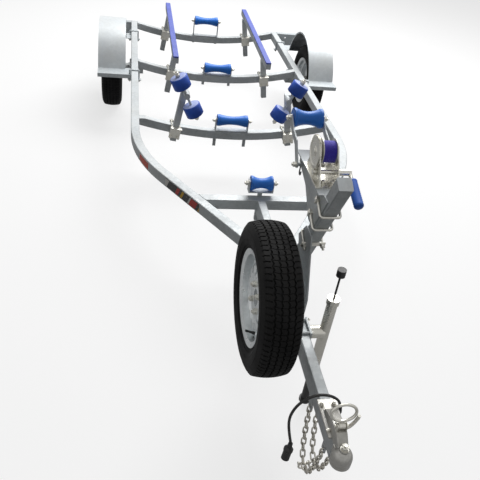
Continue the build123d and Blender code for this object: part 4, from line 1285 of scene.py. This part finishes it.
@dataclass
class PostClamps:
    """The angles, plates and rods that clamp the six posts to the cross-members."""

    rod: float = 0.005
    plates: tuple[tuple[Point, Point], ...] = (
        ((-35, -70, -41), (35, -65, 41)), ((-35, -104, 36), (35, -65.5, 41)), ((-35, 25, -41), (35, 30, 41)))

    def clamp(self, place: Matrix) -> list[bmesh.types.BMesh]:
        """One clamp: an angle on the post's front, a plate behind the cross-member and four rods."""
        out, rise = CLAMP_RODS
        rods = [threaded((x, -77, z), (x, 41, z), self.rod, place)
                for x, z in product((-out, out), (-rise, rise))]
        return [slab(low, high, place) for low, high in self.plates] + rods

    def build(self) -> bpy.types.Object:
        """All six clamps as one piece."""
        forms = []
        for station, x, centre in CLAMPED_POSTS:
            tilt, middle = post_seat(x, centre)
            for side in (1, -1):
                seat = Matrix.Translation(spot(side * x, station, middle))
                forms += self.clamp(seat @ Matrix.Rotation(-side * tilt, 4, "Y"))
        mesh = to_mesh(joined(forms), "post clamps")
        return add_piece("post_clamps", mesh, "chassis", (Palette.BRIGHT,))


@dataclass
class PostUBolts:
    """Square U-bolts round the winch post, each with its pressed strip."""

    wire: float = 0.005
    corner: float = 9.0
    front: float = 30.5             # how far the bow stands off the post's middle line
    tail: float = 52.0
    strip: Flat = (46.0, 12.0)      # half its length and half its width

    def bolt(self, place: Matrix, way: float) -> bmesh.types.BMesh:
        """One U-bolt whose legs point along the frame's Y axis, or against it.

        Args:
            place: the frame, on the post's middle line.
            way: 1 along the Y axis and -1 against it.

        Returns:
            The U-bolt's form.
        """
        half, centre = U_BOLT_LEG - self.corner, self.corner - self.front
        path = [(U_BOLT_LEG, self.tail)]
        path += [(half + self.corner * math.cos(a), centre - self.corner * math.sin(a))
                 for a in (math.pi / 2 * i / 6 for i in range(7))]
        path += [(-x, y) for x, y in reversed(path)]
        points = [place @ (Vector((x, way * y, 0)) / 1000) for x, y in path]
        return bent_wire(points, self.wire, place.to_3x3() @ Vector((0, 0, 1)))

    def build(self) -> bpy.types.Object:
        """All of them as one piece."""
        forms = []
        long, wide = self.strip
        for rise, way, near in U_BOLTS:
            place = Matrix.Translation(spot(*up_post(rise))) @ Matrix.Rotation(POST_LEAN, 4, "X")
            low, high = sorted((way * near, way * (near + U_BOLT_STRIP)))
            forms += [self.bolt(place, way), slab((-long, low, -wide), (long, high, wide), place)]
        mesh = to_mesh(joined(forms), "post U-bolts")
        return add_piece("post_u_bolts", mesh, "chassis", (Palette.BRIGHT,))


@dataclass
class RingHandle:
    """The coupling's oval ring handle between its two ears."""

    station: float = -3.518
    pivot_z: float = 0.503
    lean: float = math.radians(12.0)
    wide: float = 0.042
    tall: float = 0.032
    foot: float = 0.019             # from the pivot up to the ring
    wire: float = 0.005
    latch: tuple[Flat, ...] = (     # x and z of the latch's middle line, from the pivot
        (0.017, -0.012), (0.026, -0.010), (0.034, 0.0), (0.041, 0.016), (0.047, 0.034), (0.049, 0.046))

    def build(self) -> bpy.types.Object:
        """The ring, its shank, its pin and the ears, as one piece."""
        pivot = Matrix.Translation((0, at(self.station), self.pivot_z))
        frame = pivot @ Matrix.Rotation(-self.lean, 4, "X")
        turns = [math.radians(-84 + 348 * i / 48) for i in range(49)]
        ring = [frame @ Vector((self.wide * math.cos(a), 0, self.foot + self.tall * (1 + math.sin(a))))
                for a in turns]
        half = [(0, 0.0115), (0.011, 0.0115), (0.012, 0.0105)]
        eye = [(r, -z) for r, z in half] + half[::-1]
        forms = [bent_wire(ring, self.wire, frame.to_3x3() @ Vector((0, 1, 0)), 16),
                 slab((-8, -4.5, 6), (8, 4.5, 24), frame, 0.002),
                 turned(eye, frame @ Matrix.Rotation(math.pi / 2, 4, "Y"), 24),
                 threaded((-24, 0, 0), (24, 0, 0), 0.0055, pivot)]
        forms += [slab((x, -14, -14), (x + 5, 14, 12), pivot, 0.002) for x in (12.5, -17.5)]
        latch = [pivot @ Vector((x, 0, z)) for x, z in self.latch]
        forms.append(bent_wire(latch, 0.0058, Vector((0, 1, 0)), 16))
        mesh = to_mesh(joined(forms), "ring handle")
        return add_piece("coupling_ring_handle", mesh, "chassis", (Palette.BRIGHT,),
                         ("coupling_handle",))


@dataclass
class CouplingCasting:
    """The ball coupling: a round bell with its hollow socket, a tapered neck and a base plate."""

    ball: float = -3580.0
    socket: Flat = (0.0255, 0.423)  # the ball socket's radius and its middle's height
    shell: tuple[Flat, ...] = (     # radius and height of the bell's outside, from its mouth
        (0.033, 0.399), (0.0349, 0.401), (0.0349, 0.424), (0.0343, 0.434), (0.032, 0.443), (0.028, 0.451),
        (0.022, 0.4575), (0.0165, 0.461), (0.0155, 0.462), (0.0155, 0.468), (0.0145, 0.469))

    def neck(self) -> bmesh.types.BMesh:
        """The neck between the bell and the plate, as a hull of its cross-sections with rolled edges."""
        form = bmesh.new()
        rows = ((-3422.0, 19.0, 452.0, 462.0), (-3492.0, 20.0, 452.0, 490.0),
                (-3536.0, 19.0, 452.0, 490.0), (-3572.0, 17.0, 440.0, 464.0))
        for station, half, low, high in rows:
            for x, z in ((half + 3, low), (half, high), (-half, high), (-half - 3, low)):
                form.verts.new(spot(x, station, z))
        bmesh.ops.convex_hull(form, input=form.verts[:])
        bmesh.ops.dissolve_limit(form, angle_limit=0.02, verts=form.verts, edges=form.edges)
        bmesh.ops.bevel(form, geom=form.edges[:], offset=0.003, segments=3, profile=0.5, affect="EDGES")
        return form

    def build(self) -> bpy.types.Object:
        """The casting as one piece, in place of the CAD's."""
        turns = [math.pi / 24 * i for i in range(1, 13)]
        reach, high = self.socket
        socket = [(reach * math.sin(a), high + reach * math.cos(a)) for a in turns]
        bell = [(0, high + reach), *socket, (reach, 0.399), *self.shell, (0, self.shell[-1][1])]
        flat = Matrix.Translation((0, AXLE_Y, 0))
        forms = [turned(bell, Matrix.Translation(spot(0, self.ball, 0)), 48), self.neck(),
                 slab((-33, -3525, 445), (33, -3375, 453), flat, 0.002),
                 slab((-24, -3574, 416), (24, -3545, 452), flat, 0.003)]
        mesh = to_mesh(joined(forms), "coupling casting")
        return add_piece("coupling_casting", mesh, "chassis", (Palette.CASTING,), ("coupling",))


# ---- winch -----------------------------------------------------------------------------------


@dataclass
class Gear:
    """A toothed wheel round the X axis, grown from one tooth."""

    teeth: int
    root: float
    tip: float
    section: tuple[Flat, ...]
    shape: tuple[Flat, ...] = ((0.0, 0.0), (0.22, 0.0), (0.38, 1.0), (0.62, 1.0), (0.78, 0.0), (1.0, 0.0))

    def tooth(self) -> bpy.types.Mesh:
        """One tooth and its share of the web; the section's points beyond the root follow the tooth."""
        form = bmesh.new()
        rings = []
        for part, lift in self.shape:
            turn = 2 * math.pi * part / self.teeth
            reach = self.root + (self.tip - self.root) * lift
            radii = [(x, reach if r >= self.root else r) for x, r in self.section]
            rings.append([form.verts.new((x, -r * math.sin(turn), r * math.cos(turn))) for x, r in radii])
        bridge(form, rings)
        return to_mesh(form, "gear tooth")

    def form(self, place: Point) -> bmesh.types.BMesh:
        """The whole wheel in its place."""
        return TreadRing().whole(self.tooth(), Palette.BRIGHT, self.teeth, place)


@dataclass
class WinchWorks:
    """The drum with its toothed gear, the crank's pinion and its hand grip."""

    crank: Point = (0.0, at(-2.893), 1.05838)
    arm_x: float = 0.086
    reach: Point = (0.0, -0.95069, -0.31022)

    def geared_drum(self) -> bpy.types.Object:
        """The drum's shaft, core and flanges with the gear on their right end."""
        half = [(0.014, 0.0), (0.014, 0.023), (0.045, 0.023), (0.046, 0.0238), (0.046, 0.0252),
                (0.045, 0.026), (0.009, 0.026)]
        profile = [(0, -0.047), (0.008, -0.047), (0.009, -0.046)] + [(r, -x) for r, x in reversed(half)]
        profile += half[1:] + [(0.009, 0.042), (0.008, 0.043), (0, 0.043)]
        side = ((-0.037, 0.0085), (-0.037, 0.016), (-0.039, 0.018), (-0.039, 0.046), (-0.037, 0.048),
                (-0.037, 0.053))
        rim = side + tuple((-0.082 - x, r) for x, r in reversed(side))
        forms = [turned(profile, standing(Vector(DRUM), Vector((1, 0, 0))), 64),
                 Gear(teeth=58, root=0.053, tip=0.057, section=rim).form(DRUM)]
        return add_piece("geared_drum", to_mesh(joined(forms), "geared drum", 30.0), "winch_drum",
                         (Palette.BRIGHT,), ("winch_drum",))

    def pinion(self) -> bpy.types.Object:
        """The small gear's teeth on the crank's shaft."""
        section = ((-0.0357, 0.0075), (-0.0357, 0.0104), (-0.0473, 0.0104), (-0.0473, 0.0075))
        gear = Gear(teeth=12, root=0.0104, tip=0.0128, section=section)
        mesh = to_mesh(gear.form(self.crank), "winch pinion", 30.0)
        return add_piece("winch_pinion", mesh, "winch_crank", (Palette.BRIGHT,))

    def hand_grip(self) -> bpy.types.Object:
        """A moulded grip over the crank's end, with finger rings."""
        rings = [(0.0166 + 0.0009 * (i % 2), 0.048 + 0.0045 * i) for i in range(21)]
        profile = [(0, 0.0375), (0.0135, 0.0375), (0.0172, 0.0395), (0.0180, 0.043)] + rings
        profile += [(0.0175, 0.143), (0.0168, 0.149), (0.0140, 0.1525), (0, 0.1535)]
        place = standing(Vector(self.crank) + Vector((self.arm_x, 0, 0)), Vector(self.reach))
        mesh = to_mesh(turned(profile, place, 32), "hand grip", 60.0)
        return add_piece("winch_hand_grip", mesh, "winch_crank", (Palette.GRIP,))

    def build(self) -> list[bpy.types.Object]:
        """All three pieces."""
        return [self.geared_drum(), self.pinion(), self.hand_grip()]


# ---- welds -----------------------------------------------------------------------------------


class WeldBead(Grower):
    """A rippled bead along the carrier's edges."""

    name = "Weld bead"
    inputs = (Socket("Bead radius", value=0.003), Socket("Ripple", value=0.003),
              Socket("Seed", "NodeSocketInt", 4))

    def lay(self, graph: Graph, take: bpy.types.Node) -> bpy.types.NodeSocket:
        """A swept circle whose radius swells at each ripple."""
        curve = graph.add("GeometryNodeMeshToCurve", None, Mesh=take.outputs["Geometry"]).outputs[0]
        fine = graph.add("GeometryNodeResampleCurve", {"mode": "LENGTH"}, Curve=curve,
                         Length=take.outputs["Ripple"]).outputs[0]
        index = graph.add("GeometryNodeInputIndex").outputs[0]
        ripple = graph.remap(graph.math("MODULO", index, 2.0), 0.0, 1.0, 0.72, 1.05)
        stray = graph.add("FunctionNodeRandomValue", {"data_type": "FLOAT"}, Seed=take.outputs["Seed"])
        stray.inputs[2].default_value, stray.inputs[3].default_value = 0.85, 1.15
        swell = graph.math("MULTIPLY", ripple, stray.outputs[1])
        radius = graph.math("MULTIPLY", swell, take.outputs["Bead radius"])
        sized = graph.add("GeometryNodeSetCurveRadius", None, Curve=fine, Radius=radius).outputs[0]
        circle = graph.add("GeometryNodeCurvePrimitiveCircle", None, Resolution=8, Radius=1.0).outputs[0]
        sweep = graph.add("GeometryNodeCurveToMesh", None, Curve=sized, Profile_Curve=circle, Fill_Caps=True)
        if "Scale" in sweep.inputs:
            graph.feed(sweep, "Scale", graph.add("GeometryNodeInputRadius").outputs[0])
        return sweep.outputs[0]


@dataclass
class Welds:
    """Beads where tubes and plates meet."""

    radius: float = 0.0032
    ripple: float = 0.0028
    post_middle: float = -2738.0    # station of the winch post's foot
    post_half: float = 28.0

    def runs(self) -> list[list[Point]]:
        """Each bead's corners in millimetres (x, station, z)."""
        runs: list[list[Point]] = []
        for side in (1, -1):
            inner, outer = side * 607.5, side * 657.5
            for station in (725.0, -218.0):
                rear, ahead = station + 25, station - 25
                runs.append([(inner, ahead, 444), (inner, ahead, 390), (inner, rear, 390),
                             (inner, rear, 444)])
            for edge in (-1104.0, -1054.0):
                runs.append([(inner, edge, 385), (outer, edge, 385)])
            runs.append([(outer, -230, 385), (outer, -40, 385)])
            runs.append([(outer, 700, 443), (outer, 700, 388)])
            runs.append([(side * 20, -2132.5, 444), (side * 20, -2132.5, 367)])
        rear, ahead = self.post_middle + self.post_half, self.post_middle - self.post_half
        runs.append([(25, rear, 451), (25, ahead, 451), (-25, ahead, 451), (-25, rear, 451), (25, rear, 451)])
        runs += [[(side * 20, -3524, 453), (side * 20, -3422, 453)] for side in (1, -1)]
        brace = [up_post(rise) for rise in (250, 150)]
        runs.append([(-25, point.y - self.post_half, point.z) for point in brace])
        return runs

    def build(self) -> bpy.types.Object:
        """All beads as one piece."""
        points, edges = [], []
        for run in self.runs():
            first = len(points)
            points += [spot(*point) for point in run]
            edges += [(first + i, first + i + 1) for i in range(len(run) - 1)]
        mesh = bpy.data.meshes.new("weld runs")
        mesh.from_pydata(points, edges, [])
        grown = WeldBead().grow(mesh, Palette.GALVANISED, Bead_radius=self.radius, Ripple=self.ripple)
        grown.shade_smooth()
        return add_piece("weld_beads", grown, "chassis")


# ---- rollers ---------------------------------------------------------------------------------


@dataclass
class SideRollers:
    """The four ribbed side rollers, dark round the tread and pale in their dished ends."""

    nodes: dict[str, bpy.types.Object]
    end_facing: float = 0.4         # an end face looks along the bar at least this much
    end_radius: float = 0.0472

    def build(self) -> list[bpy.types.Object]:
        """Two-toned copies of the rollers' forms."""
        pieces = []
        for side, name in SIDES:
            axis = Vector((side * math.cos(BAR_TILT), 0, math.sin(BAR_TILT)))
            for level in ("upper", "lower"):
                node = f"wobble_{level}_{name}"
                form = bmesh.new()
                form.from_mesh(self.nodes[node].data)
                bmesh.ops.remove_doubles(form, verts=form.verts, dist=1e-6)
                middle = sum((v.co for v in form.verts), Vector()) / len(form.verts)
                for face in form.faces:
                    arm = face.calc_center_median() - middle
                    radius = (arm - axis * arm.dot(axis)).length
                    pale = abs(face.normal.dot(axis)) > self.end_facing and radius < self.end_radius
                    face.material_index = int(pale)
                pieces.append(add_piece(
                    f"side_roller_{level}_{name}", to_mesh(form, node, 30.0), f"{level}_roller_{name}",
                    (Palette.NAVY, Palette.ROLLER_END), (node,)))
        return pieces


# ---- winch webbing ---------------------------------------------------------------------------


@dataclass
class WoundWebbing:
    """The webbing wound on the drum as one long strip."""

    half_width: float = 0.0222
    start: float = 0.0150
    outer: float = 0.0388
    thickness: float = 0.00118
    layer: float = 0.00132
    steps: int = 44

    def build(self) -> bpy.types.Object:
        """The spiral strip with a UV map along it."""
        turns = (self.outer - self.start) / self.layer
        total = int(turns * self.steps)
        form = bmesh.new()
        sheet = form.loops.layers.uv.new("UVMap")
        rows, lengths, length = [], [], 0.0
        for i in range(total + 1):
            turn = 2 * math.pi * i / self.steps
            radius = self.start + self.layer * i / self.steps
            stray = 0.0009 * math.sin(turn * 0.37) * math.sin(turn * 0.11 + 1.0)
            row = []
            inner = radius - self.thickness
            for x, reach in ((-self.half_width, inner), (self.half_width, inner), (self.half_width, radius),
                             (-self.half_width, radius)):
                row.append(form.verts.new((DRUM[0] + x + stray, DRUM[1] + reach * math.cos(turn),
                                           DRUM[2] + reach * math.sin(turn))))
            rows.append(row)
            lengths.append(length)
            length += radius * 2 * math.pi / self.steps
        for i in range(total):
            near, far = rows[i], rows[i + 1]
            for j in range(4):
                k = (j + 1) % 4
                face = form.faces.new((near[j], near[k], far[k], far[j]))
                for loop in face.loops:
                    row = i if loop.vert in near else i + 1
                    across = 0.0 if loop.vert in (near[0], near[3], far[0], far[3]) else 1.0
                    loop[sheet].uv = (lengths[row] / (2 * self.half_width), across)
        form.faces.new(rows[0])
        form.faces.new(rows[-1])
        bmesh.ops.recalc_face_normals(form, faces=form.faces)
        mesh = to_mesh(form, "wound webbing", 40.0)
        return add_piece("wound_webbing", mesh, "winch_drum", (Palette.TAPE,), ("winch_strap",))


# ---- stickers --------------------------------------------------------------------------------


@dataclass(frozen=True)
class Patch:
    """A sticker on a side rail: where it starts and ends along the bend, and its foot and head."""

    name: str
    start: float
    end: float
    low: float
    high: float
    finish: Palette


@dataclass
class RailStickers:
    """Plain coloured stickers on the right rail's outer face, which carry no words."""

    side: int = -1
    bend_start: float = -1347.4
    bend_radius: float = 1000.0
    bend: float = math.radians(31.9)
    rail_x: float = 632.5
    rail_half: float = 25.0
    gap: float = 0.02
    proud: float = 0.35
    patches: tuple[Patch, ...] = (
        Patch("orange_sticker", 315.0, 435.0, 393.0, 437.0, Palette.ORANGE_STICKER),
        Patch("striped_sticker", 610.0, 905.0, 391.0, 439.0, Palette.STRIPED_STICKER))

    def place(self, run: float, z: float, out: float) -> Vector:
        """A point on the rail's outer face.

        Args:
            run: distance along the face from the bend's start, in millimetres.
            z: height in millimetres.
            out: distance off the face.

        Returns:
            The point in metres.
        """
        turn = min(run / self.bend_radius, self.bend)
        rest = max(run - self.bend * self.bend_radius, 0.0)
        reach = self.bend_radius + out
        x = self.rail_x + self.rail_half - self.bend_radius + reach * math.cos(turn) - rest * math.sin(turn)
        station = self.bend_start - reach * math.sin(turn) - rest * math.cos(turn)
        return spot(self.side * x, station, z)

    def build(self) -> list[bpy.types.Object]:
        """Each sticker as a thin bent sheet with a UV map."""
        pieces = []
        for patch in self.patches:
            steps = max(2, int((patch.end - patch.start) / 15))
            form = bmesh.new()
            sheet = form.loops.layers.uv.new("UVMap")
            places: dict[bmesh.types.BMVert, Flat] = {}
            long, tall = patch.end - patch.start, patch.high - patch.low
            rings = []
            for share in (i / steps for i in range(steps + 1)):
                ring = []
                for z, out in ((patch.low, self.gap), (patch.high, self.gap), (patch.high, self.proud),
                               (patch.low, self.proud)):
                    vert = form.verts.new(self.place(patch.start + long * share, z, out))
                    places[vert] = (share * long / tall, (z - patch.low) / tall)
                    ring.append(vert)
                rings.append(ring)
            bridge(form, rings, ends=True)
            for face in form.faces:
                for loop in face.loops:
                    loop[sheet].uv = places[loop.vert]
            mesh = to_mesh(form, patch.name)
            pieces.append(add_piece(patch.name, mesh, "chassis", (patch.finish,)))
        return pieces


# ---- small fittings --------------------------------------------------------------------------


@dataclass
class StrainRelief:
    """The ribbed rubber boot where the lead leaves its gland."""

    exit: Point = (0.044, at(-3.406), 0.423)
    core: float = 0.0051

    def build(self) -> bpy.types.Object:
        """A tapered, ribbed boot round the lead."""
        profile = [(self.core, -0.003), (0.0095, -0.003), (0.0095, 0.001)]
        for i in range(5):
            reach, z = 0.0090 - 0.0007 * i, 0.002 + 0.0036 * i
            profile += [(reach, z), (reach, z + 0.0022), (reach - 0.0012, z + 0.0026),
                        (reach - 0.0012, z + 0.0035)]
        profile += [(0.0058, 0.0215), (self.core, 0.022), (self.core, -0.003)]
        form = turned(profile, Matrix.Translation(self.exit), 28)
        bmesh.ops.remove_doubles(form, verts=form.verts, dist=1e-6)
        bmesh.ops.recalc_face_normals(form, faces=form.faces)
        mesh = to_mesh(form, "lead boot")
        return add_piece("lead_boot", mesh, "chassis", (Palette.SHEATH,))


@dataclass
class Shackles:
    """Bow shackles that hang in the lowest link of each safety chain."""

    nodes: dict[str, bpy.types.Object]
    wire: float = 0.0038
    inside: float = 0.011
    drop: float = 0.026
    swell: float = 1.25             # how much wider the bow is than its mouth
    collar: float = 0.004
    head: float = 0.009
    pin: Flat = (0.0034, 0.0065)    # the cross pin's radius, and its heads'

    def lowest(self, side: int) -> Vector:
        """The lowest point of one chain."""
        verts = [v.co for v in self.nodes["safety_chains"].data.vertices if v.co.x * side > 0]
        return min(verts, key=lambda place: place.z).copy()

    def ring(self, low: Vector) -> list[bmesh.types.BMesh]:
        """A bent bow through the link, and its cross pin with heads."""
        path = [Vector((self.inside, 0, self.collar))]
        bow = self.inside * self.swell
        path += [Vector((bow * math.cos(a), 0, -self.drop + bow * (1 + math.sin(a))))
                 for a in (-math.pi * i / 14 for i in range(15))]
        path.append(Vector((-self.inside, 0, self.collar)))
        form = bent_wire([low + point for point in path], self.wire, Vector((0, 1, 0)))
        thin, thick = self.pin
        head, neck = self.inside + self.head, self.inside + self.collar
        half = [(thin, neck), (thick, neck), (thick, head), (0, head)]
        pin = [(r, -z) for r, z in reversed(half)] + half
        return [form, turned(pin, standing(low + Vector((0, 0, 0.006)), Vector((1, 0, 0))), 16)]

    def build(self) -> bpy.types.Object:
        """Both shackles as one piece."""
        forms = [form for side in (1, -1) for form in self.ring(self.lowest(side))]
        mesh = to_mesh(joined(forms), "chain shackles")
        return add_piece("chain_shackles", mesh, "chassis", (Palette.BRIGHT,))


@dataclass
class StrapHook:
    """The hook at the webbing's end, parked on the winch mount's right cheek."""

    x: float = -0.0335
    station: float = -2.715
    eye_z: float = 0.990
    wire: float = 0.0026
    bend: float = 0.0085
    shank: float = 0.034

    def build(self) -> bpy.types.Object:
        """A ring round the cheek's bolt, a shank and an upturned point, in one bent wire."""
        top = Vector((self.x, at(self.station), self.eye_z))
        path = [top + Vector((0, self.bend * 0.7 * math.cos(a), self.bend * 0.7 * math.sin(a)))
                for a in (math.radians(150 - 24 * i) for i in range(11))]
        path.append(top + Vector((0, 0, -self.bend * 1.2)))
        low = top + Vector((0, 0, -self.shank))
        path += [low + Vector((0, -self.bend * (1 - math.cos(a)), -self.bend * math.sin(a)))
                 for a in (math.pi * i / 10 for i in range(11))]
        path.append(low + Vector((0, -2 * self.bend - 0.001, 0.009)))
        mesh = to_mesh(bent_wire(path, self.wire, Vector((1, 0, 0))), "strap hook")
        return add_piece("strap_hook", mesh, "chassis", (Palette.BLACK,))


@dataclass
class WheelFittings:
    """A tyre valve in each wheel."""

    radius: float = 0.147
    lean: float = 0.35

    def valve(self, place: Point, facing: int, turn: float) -> bmesh.types.BMesh:
        """A stubby rubber valve with its cap, leaning in from the rim.

        Args:
            place: the wheel's middle, at the valve's seat.
            facing: which way along X the wheel's face looks.
            turn: the valve's angle from straight up, in degrees towards the rear.

        Returns:
            The valve's form.
        """
        out = Vector((0, math.sin(math.radians(turn)), math.cos(math.radians(turn))))
        profile = [(0, -0.008), (0.0065, -0.008), (0.0065, 0.0), (0.0048, 0.004), (0.0042, 0.020),
                   (0.0046, 0.021), (0.0046, 0.029), (0.0038, 0.031), (0, 0.031)]
        along = Vector((facing, 0, 0)) - out * self.lean
        return turned(profile, standing(Vector(place) + out * self.radius, along), 16)

    def build(self) -> list[bpy.types.Object]:
        """One valve on each body that holds a wheel."""
        rows = (("valve_left", "wheel_left", (0.822, AXLE_Y, WHEEL_Z), 1, 20.0),
                ("valve_right", "wheel_right", (-0.822, AXLE_Y, WHEEL_Z), -1, 140.0),
                ("valve_spare", "chassis", (-0.205, *SPARE_WHEEL[1:]), -1, 195.0))
        return [add_piece(name, to_mesh(self.valve(place, facing, turn), name), body,
                          (Palette.SHEATH,)) for name, body, place, facing, turn in rows]


# ---- the whole scene -----------------------------------------------------------------------


def main() -> None:
    """Builds the trailer's scene piece by piece."""
    logging.basicConfig(level=logging.INFO, format="%(name)s: %(message)s")
    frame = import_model()
    Studio().build()
    nodes = frame["nodes"]
    dress_nodes(nodes)
    LOG.info("dressed %d nodes", len(nodes))
    builders = (
        WiringLead(), StrainRelief(), Tyre("tyre_left", "wheel_left", (0.8035, AXLE_Y, WHEEL_Z)),
        Tyre("tyre_right", "wheel_right", (-0.8035, AXLE_Y, WHEEL_Z)),
        Tyre("spare_tyre", "chassis", SPARE_WHEEL), WheelFittings(), Fasteners(), Welds(), PostClamps(),
        PostUBolts(), RingHandle(), CouplingCasting(), WinchWorks(), SideRollers(nodes), WoundWebbing(),
        RailStickers(), Shackles(nodes), StrapHook())
    for builder in builders:
        made = builder.build()
        for piece in made if isinstance(made, list) else [made]:
            faces = len(getattr(piece.data, "polygons", ()))
            LOG.info("%s: %s, %d faces", type(builder).__name__, piece.name, faces)


if __name__ == "__main__":
    main()
